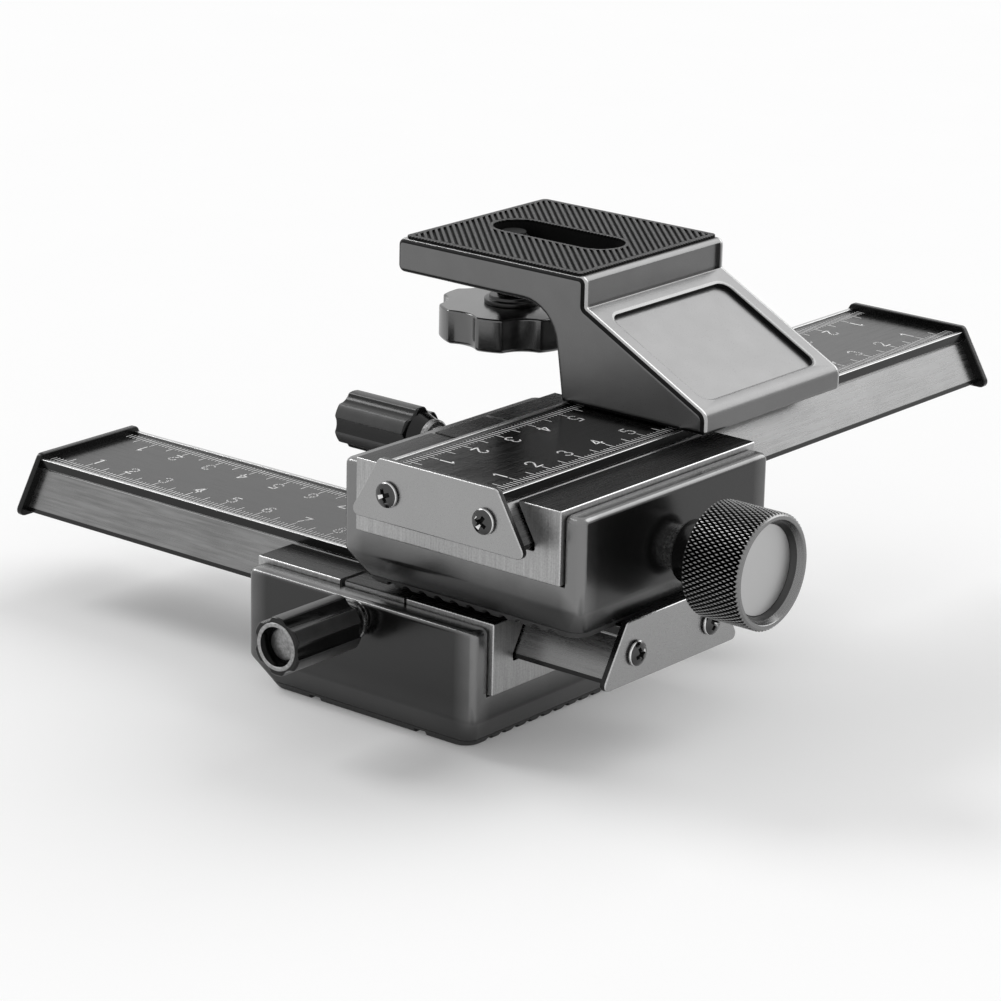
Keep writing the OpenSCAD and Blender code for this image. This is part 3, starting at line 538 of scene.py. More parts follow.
def anodised(name, color, size, rough, along="X", metallic=0.85, shine=0.5, contrast=0.2):
    """Anodised aluminium with its grain along one direction."""
    f = Finish(name)
    stretch = [0.05 if axis == along else 1.0 for axis in "XYZ"]
    lines, cloud = f.noise(size, 3, stretch), f.noise(9.0, 2)
    share = f.spread(lines * 0.75 + cloud * 0.25)
    tone = f.shades(share, color, 1 - contrast, 1 + contrast)
    return f.shade(base_color=tone, metallic=metallic, specular_ior_level=shine,
                   roughness=f.spread(lines, rough - 0.05, rough + 0.07),
                   normal=f.bump(lines, 0.35, 0.012))


def turned(name, color, rough):
    """Turned metal with fine rings around its axis."""
    f = Finish(name)
    size = 0.25
    at = f.node("ShaderNodeCombineXYZ", {"X": f.radius(), "Y": 0.0, "Z": 0.0})
    rings = f.node("ShaderNodeTexNoise", {"Vector": at, "Scale": 1 / size, "Detail": 3.0})
    grain = f.noise(0.2, 2)
    both = rings * 0.6 + grain * 0.4
    return f.shade(base_color=f.shades(f.spread(both), color, 0.85, 1.12), metallic=1.0,
                   roughness=f.spread(grain, rough - 0.05, rough + 0.08),
                   normal=f.bump(both, 0.3, 0.01))


def moulded(name, color, rough, size=0.3, strength=0.3, shine=0.5):
    """Moulded plastic or rubber with a fine grain."""
    f = Finish(name)
    grain, cloud = f.noise(size, 3), f.noise(4.0, 2)
    return f.shade(base_color=f.shades(f.spread(cloud), color, 0.8, 1.25),
                   specular_ior_level=shine,
                   roughness=f.spread(grain, rough - 0.06, rough + 0.08),
                   normal=f.bump(grain, strength, 0.03))


def knurled(dark, bright, root, tip):
    """Knurled black metal, black in its grooves, with a painted highlight on its points that
    varies at random.
    """
    f = Finish("knurled_black")
    painted_sheen = f.noise(0.5, 3)
    share = f.ramp(f.radius(), root + (tip - root) * 0.7, tip) * f.ramp(painted_sheen, 0.2, 0.6, 0.6, 1)
    return f.shade(base_color=f.blend(share, scaled(dark), scaled(bright)), metallic=1.0,
                   roughness=f.spread(painted_sheen, 0.26, 0.4),
                   normal=f.bump(f.noise(0.12, 2), 0.2, 0.01))


def ribbed_rubber(color, pitch):
    """Rubber with fine scores across its ribs, with a painted highlight on the scored rib tops
    and painted shade between them.
    """
    f = Finish("ribbed_rubber")
    along = f.node("ShaderNodeVectorMath", {0: f.coordinates(), 1: (DIAGONAL, -DIAGONAL, 0.0)},
                   "Value", operation="DOT_PRODUCT")
    wave = f.node("ShaderNodeMath", {0: along * (math.tau / (pitch * MM))}, operation="SINE")
    high = f.spans()[2]
    grain = f.noise(0.25, 3)
    # Painted highlight on the crests of the scores along the rib tops, painted shade elsewhere
    painted_sheen = f.ramp(wave, 0.0, 0.9) * f.ramp(high, TOP_H + 0.38, TOP_H + 0.58)
    return f.shade(base_color=f.shades(painted_sheen, color, 0.3, 27.0), specular_ior_level=0.06,
                   roughness=f.spread(grain, 0.4, 0.55),
                   normal=f.bump(wave * 0.7 + grain * 0.3, 0.8, 0.12))


FINISHES = {}


def finish(name):
    """The material of that name, made once from the colours in the sidebar."""
    if name in FINISHES:
        return FINISHES[name]
    c, s = bpy.context.scene.rail_colours, sizes()
    makers = {
        "paint": lambda: cast_paint(c.paint, c.painted_sheen),
        "bracket": lambda: bracket_paint("bracket_paint", c.bracket, 0.3),
        "bracket_edge": lambda: bracket_paint("bracket_edge", c.bracket_edge, 0.24),
        "panel_rim": lambda: bracket_paint("panel_rim", scaled(c.bracket, 1.35), 0.26),
        "thumb": lambda: bracket_paint("thumb_metal", c.thumb, 0.17),
        "machined": lambda: machined(c.machined),
        "jaw_top": lambda: anodised("dark_jaw_top", c.jaw_top, 0.5, 0.26, metallic=0.0,
                                    shine=0.11),
        "edge": lambda: anodised("painted_highlight_edge", c.edge, 0.4, 0.25, None, 1.0),
        "rail_top": lambda: anodised("anodised_top", c.rail_top, 0.5, 0.2, metallic=0.0,
                                     shine=0.33),
        "rail_flank": lambda: anodised("brushed_flank", c.rail_flank, 0.6, 0.27,
                                       metallic=0.95),
        "rail_lip": lambda: anodised("bright_lip", c.rail_lip, 0.4, 0.28, metallic=1.0),
        "plate": lambda: anodised("end_plate_satin", c.plate, 0.22, 0.28, None, 0.95,
                                  contrast=0.06),
        "plate_dark": lambda: anodised("plate_rim", c.plate_dark, 0.4, 0.25, None),
        "bushing": lambda: anodised("bushing_metal", scaled(c.steel, 0.4), 0.7, 0.26, None,
                                    1.0, contrast=0.6),
        "disc": lambda: anodised("pale_disc", c.disc, 0.25, 0.36, None, 1.0, contrast=0.04),
        "lock_ring": lambda: anodised("grained_ring", c.lock_ring, 0.5, 0.36, None, 1.0,
                                      contrast=0.45),
        "cap": lambda: anodised("grained_cap", scaled(c.lock_ring, 0.85), 0.6, 0.36, None,
                                1.0, contrast=0.5),
        "inner": lambda: anodised("inner_metal", c.steel, 0.5, 0.36, None, 1.0),
        "chrome": lambda: turned("screw_metal", c.chrome, 0.16),
        "glint": lambda: turned("screw_glint", c.glint, 0.18),
        "steel": lambda: turned("bright_steel", c.steel, 0.3),
        "knob_lip": lambda: turned("knob_lip_metal", c.knob_lip, 0.26),
        "knob_dark": lambda: turned("knob_dark_metal", c.knob_dark, 0.34),
        "knurl": lambda: knurled(c.knurl_groove, c.knurl_highlight,
                                 s.knob_d / 2 - s.knurl_depth, s.knob_d / 2),
        "black_screw": lambda: moulded("blackened_screw", c.black_screw, 0.5, shine=0.06),
        "seam": lambda: moulded("black_painted_shade", c.seam, 0.5, shine=0.12),
        "plastic": lambda: moulded("black_plastic", c.plastic, 0.14, 0.4, 0.1, 0.3),
        "plastic_ridge": lambda: moulded("painted_highlight_ridge", c.plastic_ridge, 0.34, 0.25, 0.4),
        "rubber": lambda: moulded("base_rubber", c.rubber, 0.5, 0.35, 0.4),
        "marks": lambda: moulded("scale_marks", c.marks, 0.5, 0.3, 0.1),
        "pad": lambda: ribbed_rubber(c.pad, s.pad_score),
    }
    FINISHES[name] = makers[name]()
    return FINISHES[name]


# What a user would change


def colour(name, text, level):
    """A neutral colour that the sidebar shows."""
    return FloatVectorProperty(name=name, description=text, default=(level, level, level),
                               subtype="COLOR", size=3, min=0, max=1)


def length(name, text, value, low=0.0, high=100.0):
    """A size in millimetres that the sidebar shows."""
    return FloatProperty(name=name, description=text, default=value, min=low, max=high)


class RailColours(bpy.types.PropertyGroup):
    """Colours of the focusing rail's finishes."""

    paint: colour("Paint", "Metallic black paint of the castings", 0.054)
    # Painted sheen: the paler paint that stands for reflections along the castings' corners, rims
    # and lower walls
    painted_sheen: colour("Paint edges", "The same paint along corners and rims", 0.2)
    bracket: colour("Bracket", "Satin metallic paint of the bracket", 0.15)
    # Painted highlight along the bracket's rounded sides
    bracket_edge: colour("Bracket edge", "Polished edges of the bracket", 0.4)
    jaw_top: colour("Jaw tops", "Dark tops of the machined jaws", 0.014)
    # Painted highlight on the rounded edges of the jaws and end plates
    edge: colour("Bright edge", "Broken edges of the machined parts", 0.45)
    # Painted shade on the end plates' rims and backs and in the jaws' channel
    plate_dark: colour("Plate rim", "Rims and backs of the end plates", 0.02)
    # Blackened screw, darkened further as painted shade inside the slot
    black_screw: colour("Camera screw", "Blackened camera screw", 0.008)
    thumb: colour("Thumb knob", "Dark metal of the lobed thumb knob", 0.13)
    # Painted shade in the bracket's recesses and slot, on its rounded sides and in the screws'
    # cross recesses
    seam: colour("Seams", "Dark grooves and recesses", 0.004)
    # Painted highlight on the screws' rims and cross edges
    glint: colour("Screw rims", "Polished rims of the screws", 0.75)
    machined: colour("Machined faces", "Bare metal of the jaws and their end faces", 0.38)
    rail_top: colour("Rail top", "Anodised top of the rails", 0.004)
    rail_flank: colour("Rail flank", "Brushed sides of the rails", 0.2)
    # Painted highlight on the rails' lips and the tops of their flanks
    rail_lip: colour("Rail lip", "Bright lips beside the scales", 0.5)
    plate: colour("End plate", "Satin end plates of the rails", 0.33)
    # Screw metal darkened as a painted reflection of dark surroundings
    chrome: colour("Plate screws", "Cross-head screws", 0.07)
    steel: colour("Steel", "Shafts, bushings and screws", 0.55)
    disc: colour("Knob disc", "Pale disc in the drive knobs", 0.46)
    lock_ring: colour("Lock ring", "Grained ring on the lock knobs", 0.3)
    plastic: colour("Black plastic", "Lock knobs and hub rings", 0.004)
    # Painted highlight on the lock knobs' ridges
    plastic_ridge: colour("Knob ridges", "Grained ridges of the lock knobs", 0.03)
    rubber: colour("Base rubber", "Ribbed pads under the carriages", 0.02)
    pad: colour("Platform rubber", "Ribbed rubber under the camera", 0.012)
    knurl_groove: colour("Knurl grooves", "Bottom of the knurl", 0.012)
    # Painted highlight on the knurl's points
    knurl_highlight: colour("Knurl points", "Worn points of the knurl", 0.36)
    knob_lip: colour("Knob lip", "Smooth lip of the drive knobs", 0.21)
    # Painted shade in the drive knobs' hollows; also the own dark metal of their backs and of the
    # shoulder ring
    knob_dark: colour("Knob hollow", "Hollow and back of the drive knobs", 0.06)
    marks: colour("Scale marks", "Lines and figures of the scales", 0.85)


class RailSizes(bpy.types.PropertyGroup):
    """Sizes of the details that the solids leave out, in millimetres."""

    knob_d: length("Knob diameter", "Drive knob over its knurl", 23.3, 20, 24)
    knurl_starts: IntProperty(name="Knurl starts", default=72, min=24, max=120,
                              description="Points of the knurl around the drive knob")
    knurl_rows: IntProperty(name="Knurl rows", default=14, min=4, max=40,
                            description="Half rows of the knurl along the drive knob")
    knurl_depth: length("Knurl depth", "Depth of the knurl", 0.42, 0.1, 0.8)
    block_edge: length("Jaw edge", "Rounding of the machined jaws", 0.3, 0.05, 1)
    bracket_edge: length("Bracket edge", "Rounding of the bracket's sides", 1.35, 0.2, 2)
    tick_w: length("Line width", "Width of the scale's lines", 0.18, 0.05, 0.5)
    tick_long: length("Long line", "Length of each fifth line", 3.87, 1, 6)
    tick_short: length("Short line", "Length of the other lines", 2.0, 0.5, 4)
    tick_root: length("Line foot", "Outer end of the lines, from the centre", 12.7, 10, 13.6)
    figure_h: length("Figure height", "Height of the scale's figures", 3.3, 1, 5)
    figure_w: length("Figure stroke", "Stroke width of the figures", 0.35, 0.1, 0.8)
    pad_pitch: length("Rib pitch", "Distance between the platform's ribs", 1.3, 0.8, 4)
    pad_score: length("Score pitch", "Distance between the scores on a rib", 0.62, 0.2, 2)
    lock_pitch: length("Lock thread pitch", "Pitch of the lock screw", 1.0, 0.5, 2)
    camera_pitch: length("Camera thread pitch", "Pitch of the camera screw", 1.27, 0.8, 2)


class RailStage(bpy.types.PropertyGroup):
    """Light, floor and camera of the scene."""

    floor: colour("Floor", "Colour of the floor", 0.98)
    floor_glow: FloatProperty(name="Floor white", default=0.13, min=0, max=1,
                              description="Share of plain white in what the camera sees")
    sun: FloatProperty(name="Key light", default=1.05, min=0, max=10,
                       description="Strength of the soft key light")
    fill: FloatProperty(name="Fill light", default=0.52, min=0, max=2,
                        description="Strength of the light from all around")
    panel: FloatProperty(name="Back light", default=1.4, min=0, max=10,
                         description="Strength of the wide soft light from behind")
    softness: FloatProperty(name="Softness", default=math.radians(24), subtype="ANGLE",
                            unit="ROTATION", description="Width of the key light")
    lens: FloatProperty(name="Lens", default=136.474, min=20, max=400, unit="CAMERA",
                        description="Focal length on a 36 mm frame")


def sizes():
    """The sizes in the sidebar."""
    return bpy.context.scene.rail_sizes


# Pieces

# Past every carriage, for what cuts right through
FAR = 40
# How square a face stands to an axis: nearly flat on it, or turned away from it
FLAT, TURNED = 0.95, 0.5


def shell_plan(z):
    """The painted casting's outline at a height."""
    foot_r, edge_grow = 0.5, 1.8
    if z > FOOT_Z + FOOT_SOFT:
        lean = 0.0
    elif z > FOOT_Z - FOOT_SOFT:
        lean = (FOOT_Z + FOOT_SOFT - z) ** 2 / (4 * FOOT_SOFT * FOOT_Z)
    else:
        lean = (FOOT_Z - z) / FOOT_Z
    rim, foot = max(0, z - WALL_Z + RIM_R), max(0, foot_r - z)
    inset = RIM_R - math.sqrt(RIM_R ** 2 - rim ** 2) + foot_r - math.sqrt(foot_r ** 2 - foot ** 2)
    flat = outline(box_points(CAR_L - 2 * (FOOT_L * lean + inset),
                              CAR_W - 2 * (FOOT_W * lean + inset)),
                   EDGE_R + edge_grow * lean, steps=8)
    return [(p[0], p[1], z) for p in flat]


def casting():
    """The painted casting, open where the machined jaws stand in it."""
    gap, rounding = 0.3, 0.22
    heights = [PAD_T, 2.4, 3.4, 4.4, 5.4]
    heights += [FOOT_Z - FOOT_SOFT + 0.15 * i for i in range(9)] + [9, 14, 20]
    heights += [WALL_Z - RIM_R * math.cos(math.pi / 2 * i / 6) for i in range(7)]
    shape = Shape().rings([shell_plan(z) for z in heights]).tidy()
    half = BLOCK_W / 2 + gap
    shape.carve(block((-FAR, -half, BLOCK_Z - gap), (FAR, half, FAR)))
    return shape.tidy(rounding, 3)


def jaws(edge):
    """The machined block with its channel, slits and the shoe's pocket."""
    half, near, slit_edge = BLOCK_W / 2, 0.3, 0.12
    points = [
        (-half, BLOCK_Z), (half, BLOCK_Z), (half, JAW_Z), (CHANNEL_TOP, JAW_Z),
        (CHANNEL_FOOT, CHANNEL_FOOT_Z), (CHANNEL_FOOT, FLOOR_Z),
        (-CHANNEL_FOOT, FLOOR_Z), (-CHANNEL_FOOT, CHANNEL_FOOT_Z),
        (-CHANNEL_TOP, JAW_Z), (-half, JAW_Z),
    ]
    radii = [edge] * 4 + [0.3, 0.2, 0.2, 0.3] + [edge] * 2
    shape = prism(points, radii, -BLOCK_L / 2, BLOCK_L / 2, edge, "X", steps=4).tidy()
    pocket = SHOE_L / 2 + SLIT_W
    shape.carve(block((-pocket, -half - 1, FLOOR_Z), (pocket, 0, JAW_Z + 1)))
    shape.tidy(slit_edge, 2, 60)

    def kind(centre, normal):
        inside = abs(centre.y) < CHANNEL_FOOT + near and centre.z > FLOOR_Z - 0.2
        if normal.z > FLAT and centre.z > JAW_Z - 0.5:
            return 1
        # The channel's sides are darkened as painted shade between jaw and rail
        if inside and abs(normal.x) < TURNED and centre.z < JAW_Z - 0.4:
            return 3
        # The jaws' top rims and end edges take a painted highlight
        rim = centre.z > JAW_Z - near and abs(normal.x) < TURNED
        end = abs(centre.x) > BLOCK_L / 2 - near and abs(normal.x) < FLAT
        return 2 if rim or end else 0
    return shape.paint(kind)


class RAIL_OT_carriages(bpy.types.Operator):
    """Builds both carriages' castings and machined jaws"""

    bl_idname = "rail.carriages"
    bl_label = "Carriages"

    def execute(self, context):
        cast, metal = casting(), jaws(sizes().block_edge)
        for level in STAGE:
            place, body, nodes = STAGE[level], CARRIER[level], [f"{level}_carriage"]
            piece(f"{level}_casting", cast, "paint", place, body, nodes)
            piece(f"{level}_jaws", metal, "machined jaw_top edge plate_dark", place, body,
                  nodes)
        return {"FINISHED"}


class RAIL_OT_clamp_shoes(bpy.types.Operator):
    """Builds the loose jaw blocks between the slits"""

    bl_idname = "rail.clamp_shoes"
    bl_label = "Clamp shoes"

    def execute(self, context):
        near, edge, lift = 0.3, 0.25, 0.1
        back = BLOCK_W / 2 - near
        points = [(-back, FLOOR_Z + lift), (-CHANNEL_FOOT, FLOOR_Z + lift),
                  (-CHANNEL_FOOT, CHANNEL_FOOT_Z), (-CHANNEL_TOP, JAW_Z), (-back, JAW_Z)]
        shape = prism(points, edge, -SHOE_L / 2, SHOE_L / 2, edge, "X", steps=3).tidy()
        shape.paint(lambda c, n: 1 if n.z > FLAT or c.z > JAW_Z - near else 0)
        for level in STAGE:
            piece(f"{level}_shoe", shape, "machined jaw_top edge", STAGE[level],
                  CARRIER[level], [f"{level}_clamp_shoe"])
        return {"FINISHED"}


class RAIL_OT_base_pads(bpy.types.Operator):
    """Builds the grooved pads under the carriages"""

    bl_idname = "rail.base_pads"
    bl_label = "Base pads"

    def execute(self, context):
        pitch, groove_r, grooves, notch_at, notch_half = 4.06, 1.15, 11, 14, 1.5
        thread_hole_r, pin_hole_r, pin_y, above = 7.53, 2.03, -16, 3
        shape = Shape().rings([shell_plan(z) for z in (0, 0.06, 0.15, 0.3, 0.5, 1.0, PAD_T)])
        shape.tidy()
        cuts = Shape()
        for i in range(grooves):
            y = (i - (grooves - 1) / 2) * pitch
            cuts.rings([[(x, y + groove_r * math.cos(t), groove_r * math.sin(t))
                         for t in around(20)] for x in (-FAR, FAR)])
        shape.carve(cuts.tidy())
        for side in (-notch_at, notch_at):
            shape.carve(block((side - notch_half, -FAR, -1), (side + notch_half, FAR, 1)))
        shape.carve(drill(thread_hole_r, -1, above, 48))
        shape.carve(drill(pin_hole_r, -1, above, 24, Matrix.Translation((0, pin_y, 0))))
        shape.tidy(0.1, 2, 50)
        for level in STAGE:
            piece(f"{level}_ribbed_pad", shape, "rubber", STAGE[level], CARRIER[level],
                  [f"{level}_base_pad"])
        return {"FINISHED"}


def bar(holes):
    """A rail bar with its rack groove and the screw holes of its underside."""
    groove, near = 2.53, 0.05
    lip_in, lip_foot = RAIL_TOP - LIP_W, RAIL_H - LIP_H
    half = [(RAIL_FOOT, 0), (RAIL_FOOT, RAIL_FOOT_Z), (RAIL_NECK, RAIL_NECK_Z),
            (RAIL_TOP, RAIL_SIDE_Z), (RAIL_TOP, RAIL_H), (lip_in, RAIL_H), (lip_in, lip_foot)]
    radii = [0.2, 0.2, 0.3, 0.12, 0.14, 0.12, 0.1]
    points = half + [(-x, z) for x, z in reversed(half)]
    shape = prism(points, radii + radii[::-1], -RAIL_LEN / 2, RAIL_LEN / 2, 0, "X",
                  steps=3).tidy()
    shape.carve(block((-RACK_HALF, PINION_V - groove, -1),
                      (RACK_HALF, PINION_V + groove, RACK_TOP_Z)))
    for x, y, r, top in holes:
        shape.carve(drill(r, -1, top, place=Matrix.Translation((x, y, 0))))
    shape.tidy()

    def kind(centre, normal):
        if abs(normal.x) >= TURNED:
            return 0
        on_flank = RAIL_FOOT_Z - 0.12 < centre.z < RAIL_SIDE_Z + near
        # The flank's top band and the lips take a lighter metal as a painted highlight
        if on_flank and abs(centre.y) > RAIL_NECK - near:
            return 2 if centre.z > RAIL_NECK_Z - near else 1
        on_lip = centre.z > lip_foot + 0.1 and abs(centre.y) > lip_in - 0.1
        return 2 if on_lip else 0
    return shape.paint(kind)


class RAIL_OT_rails(bpy.types.Operator):
    """Builds the two dovetail bars"""

    bl_idname = "rail.rails"
    bl_label = "Rail bars"

    def execute(self, context):
        # Place, radius and depth of the screw holes
        holes = {
            "lower": [(UPPER_AT[0] - RAIL_AT["lower"], 0, 5.3, 4.5)],
            "upper": [(x, y, 3.8, 4.0) for x in (-14, 14) for y in (-9, 2)],
        }
        for level in STAGE:
            piece(f"{level}_bar", bar(holes[level]), "rail_top rail_flank rail_lip",
                  rail_place(level), SLIDER[level], [f"{level}_rail"])
        return {"FINISHED"}


# Strokes of the figures, in hundredths of their height
FIGURES = {
    1: [(12, 78), (34, 100), (34, 0)],
    2: [(2, 76), (6, 90), (18, 99), (32, 100), (48, 94), (56, 80), (54, 64), (40, 45),
        (18, 20), (0, 0), (60, 0)],
    3: [(4, 84), (12, 95), (28, 100), (46, 95), (54, 80), (50, 62), (36, 53), (52, 44),
        (58, 28), (52, 10), (36, 1), (20, 1), (6, 10), (0, 20)],
    4: [(42, 0), (42, 100), (0, 32), (60, 32)],
    5: [(54, 100), (10, 100), (6, 56), (20, 64), (36, 64), (52, 52), (58, 32), (52, 10),
        (36, 0), (18, 0), (4, 10), (0, 18)],
    6: [(50, 92), (34, 100), (18, 92), (5, 68), (0, 36), (6, 12), (20, 1), (38, 1),
        (54, 14), (58, 34), (50, 52), (34, 60), (16, 55), (4, 42)],
    7: [(0, 100), (60, 100), (32, 50), (20, 0)],
    8: [(30, 54), (14, 60), (6, 76), (14, 93), (30, 100), (46, 93), (54, 76), (46, 60),
        (30, 54), (10, 46), (0, 27), (8, 8), (30, 0), (52, 8), (60, 27), (50, 46), (30, 54)],
}
FIGURE_MIDDLE = 30


def stroke(shape, a, b, width):
    """One thin raised line on the rail's top between two points."""
    sunk, raised, overlap = 0.05, 0.012, 0.3
    ahead = (Vector(b) - Vector(a)).normalized()
    side = Vector((-ahead.y, ahead.x)) * width / 2
    a, b = Vector(a) - ahead * width * overlap, Vector(b) + ahead * width * overlap
    z = RAIL_H - LIP_H
    shape.rings([[(p.x, p.y, h) for p in (a + side, a - side, b - side, b + side)]
                 for h in (z - sunk, z + raised)])


def scale_marks():
    """The lines and figures of one rail's two scales, counted from both ends."""
    s = sizes()
    shape = Shape()
    zero_out, middle, gap = 0.5, 80, 0.6
    scale = s.figure_h / 100
    foot = s.tick_root - s.tick_long - gap
    for edge in (-1, 1):
        for end in (-1, 1):
            for k in range(1, middle + 1):
                if k == middle and end == 1:
                    continue
                u = end * (RAIL_LEN / 2 + zero_out - k)
                size = s.tick_long if k % 5 == 0 else s.tick_short
                stroke(shape, (u, edge * s.tick_root), (u, edge * (s.tick_root - size)),
                       s.tick_w)
                if k % 10:
                    continue
                spots = [(u - edge * (x - FIGURE_MIDDLE) * scale, edge * (foot - y * scale))
                         for x, y in FIGURES[k // 10]]
                for a, b in zip(spots, spots[1:]):
                    stroke(shape, a, b, s.figure_w)
    return shape


class RAIL_OT_scales(bpy.types.Operator):
    """Builds the scales on both rails"""

    bl_idname = "rail.scales"
    bl_label = "Scales"

    def execute(self, context):
        shape = scale_marks()
        for level in STAGE:
            piece(f"{level}_scale", shape, "marks", rail_place(level), SLIDER[level],
                  smooth=10)
        return {"FINISHED"}


PLATE_T = 1.5


class RAIL_OT_end_plates(bpy.types.Operator):
    """Builds the trapezoid end plates"""

    bl_idname = "rail.end_plates"
    bl_label = "End plates"

    def execute(self, context):
        foot, top, foot_half, top_half = -0.65, RAIL_H + 1.12, 22.2, 14.72
        corner_r, edge = 1.3, 0.28
        points = [(-foot_half, foot), (foot_half, foot), (top_half, top), (-top_half, top)]
        end = RAIL_LEN / 2
        for level in STAGE:
            for side, mark in ((-1, "a"), (1, "b")):
                low, high = sorted((side * end, side * (end + PLATE_T)))
                shape = prism(points, corner_r, low, high, edge, "X", steps=5).tidy()
                # The back and the rim are darkened as painted shade, the front edge is lightened
                # as a painted highlight
                shape.paint(lambda c, n: 0 if n.x * side > FLAT
                            else 2 if n.x * side > 0.15 else 1)
                piece(f"{level}_stop_{mark}", shape, "plate plate_dark edge",
                      rail_place(level), SLIDER[level],
                      [f"{level}_end_plate_{mark}"])
        return {"FINISHED"}


def pan_screw():
    """A cross-head screw that stands on z = 0 at the rail's end."""
    dome_r, rim, dome, shank_r, shank_l, tip_r = 2.6, 0.55, 1.05, 1.5, 9, 1.1
    profile = [(0, -shank_l), (tip_r, -shank_l), (shank_r, shank_r - tip_r - shank_l),
               (shank_r, PLATE_T), (dome_r - 0.12, PLATE_T), (dome_r, PLATE_T + 0.12),
               (dome_r, PLATE_T + rim - 0.1)]
    for i in range(1, 11):
        t = math.pi / 2 * i / 10
        profile.append((dome_r * math.cos(t), PLATE_T + rim + dome * math.sin(t)))
    shape = revolve(profile, 64, closed=False).tidy()
    top, recess = PLATE_T + rim + dome, 0.95
    for turned_by in (0, 90):
        blade = Shape().rings([
            [(x, y, z) for x, y in box_points(long, wide)]
            for z, long, wide in ((top - recess, 1.9, 0.6), (top + 0.2, 3.5, 1.0))])
        shape.carve(Shape().join(blade, turn("Z", turned_by)).tidy())
    shape.tidy(0.07, 2, 40)

    def kind(centre, normal):
        # The screw metal is near black as a painted reflection of dark surroundings; the rim and
        # the cross's sloped edges take a painted highlight, the cross's recess painted shade
        far = math.hypot(centre.x, centre.y)
        if far > dome_r - 0.1 and centre.z > PLATE_T + rim - 0.1:
            return 2
        if far > 1.85 or centre.z < PLATE_T + rim:
            return 0
        if centre.z < top - 0.6 or normal.z < 0.35:
            return 1
        return 2 if normal.z < 0.86 else 0
    return shape.paint(kind)


class RAIL_OT_plate_screws(bpy.types.Operator):
    """Builds the cross-head screws in the end plates"""

    bl_idname = "rail.plate_screws"
    bl_label = "Plate screws"

    def execute(self, context):
        one = pan_screw()
        screw_y, screw_z, twist = 12.05, 5.3, 37
        for level in STAGE:
            shape = Shape()
            spots = [(side, across) for side in (-1, 1) for across in (-1, 1)]
            for count, (side, across) in enumerate(spots, 1):
                at = (side * RAIL_LEN / 2, across * screw_y, screw_z)
                shape.join(one, Matrix.Translation(at) @ turn("Y", side * 90)
                           @ turn("Z", twist * count))
            piece(f"{level}_cross_screws", shape, "chrome seam glint", rail_place(level),
                  SLIDER[level], [f"{level}_plate_screws"])
        return {"FINISHED"}


KNOB_V = 39.4
KNOB_END = 52.8
KNOB_FLOOR = KNOB_END - 3.1
DISC_TOP = KNOB_END - 2.5
SHAFT_HOLE_R = 2.53


def knurled_knob():
    """The drive knob with its diamond knurl, smooth lip and tapered hollow."""
    s = sizes()
    starts, rows = s.knurl_starts, s.knurl_rows
    if rows % 2:
        raise ValueError("the knurl needs an even number of half rows")
    tip = s.knob_d / 2
    root = tip - s.knurl_depth
    bevel, top_share, rise_share, hole_r, hub_r = 0.5, 0.26, 0.5, 2.6, 5.0
    low, high = KNOB_V + bevel, KNOB_END - bevel
    step, rise = math.tau / starts, (high - low) / rows

    shape = Shape()
    for j in range(rows + 1):
        z = low + j * rise
        for i in range(starts):
            t = (i + 0.5 * (j % 2)) * step
            left, right = (t - step / 2, z), (t + step / 2, z)
            up, down = (t, z + rise), (t, z - rise)
            diamond = [left, down, right, up]
            if j == 0:
                diamond = [left, right, up]
            elif j == rows:
                diamond = [left, down, right]
            inner = [(t + (a - t) * top_share, z + (b - z) * rise_share) for a, b in diamond]
            points = [polar(root, *p) for p in diamond] + [polar(tip, *p) for p in inner]
            count = len(diamond)
            faces = [list(range(count, 2 * count))]
            for k in range(count):
                n = (k + 1) % count
                # The open side of a half point is closed by the bevel's ring
                if {diamond[k][1], diamond[n][1]} == {z} and count == 3:
                    continue
                faces.append([k, n, count + n, count + k])
            shape.add(points, faces, [0] * len(faces))
    angles = [(i + d) * step for i in range(starts)
              for d in (-0.5, -0.5 * top_share, 0.5 * top_share)]
    radii = [root, tip, tip] * starts

    def skin(profile, kind, edge_z=None):
        rings = [[polar(r, t, z) for t in angles] for r, z in profile]
        if edge_z is not None:
            rings.insert(0, [polar(r, t, edge_z) for r, t in zip(radii, angles)])
        shape.rings(rings, kind, caps=(False, False))

    lip = tip - 1.35
    floor_r = lip - 1.15
    lip_end, taper = (lip + 0.12, KNOB_END), (lip + (floor_r - lip) * 0.5, KNOB_END - 1.3)
    skin([(tip - bevel, KNOB_V), (hub_r, KNOB_V), (hole_r, KNOB_V)], 2, low)
    skin([(tip - 0.32, KNOB_END - 0.22), (tip - bevel - 0.1, KNOB_END), lip_end], 1, high)
    # The hollow's upper wall keeps the lip metal, its lower wall and floor are darkened as
    # painted shade
    skin([lip_end, (lip, KNOB_END - 0.1), taper], 1)
    skin([taper, (floor_r, DISC_TOP), (floor_r, KNOB_FLOOR), (hole_r, KNOB_FLOOR),
          (hole_r, KNOB_V)], 2)
    return shape.tidy(width=2e-3)


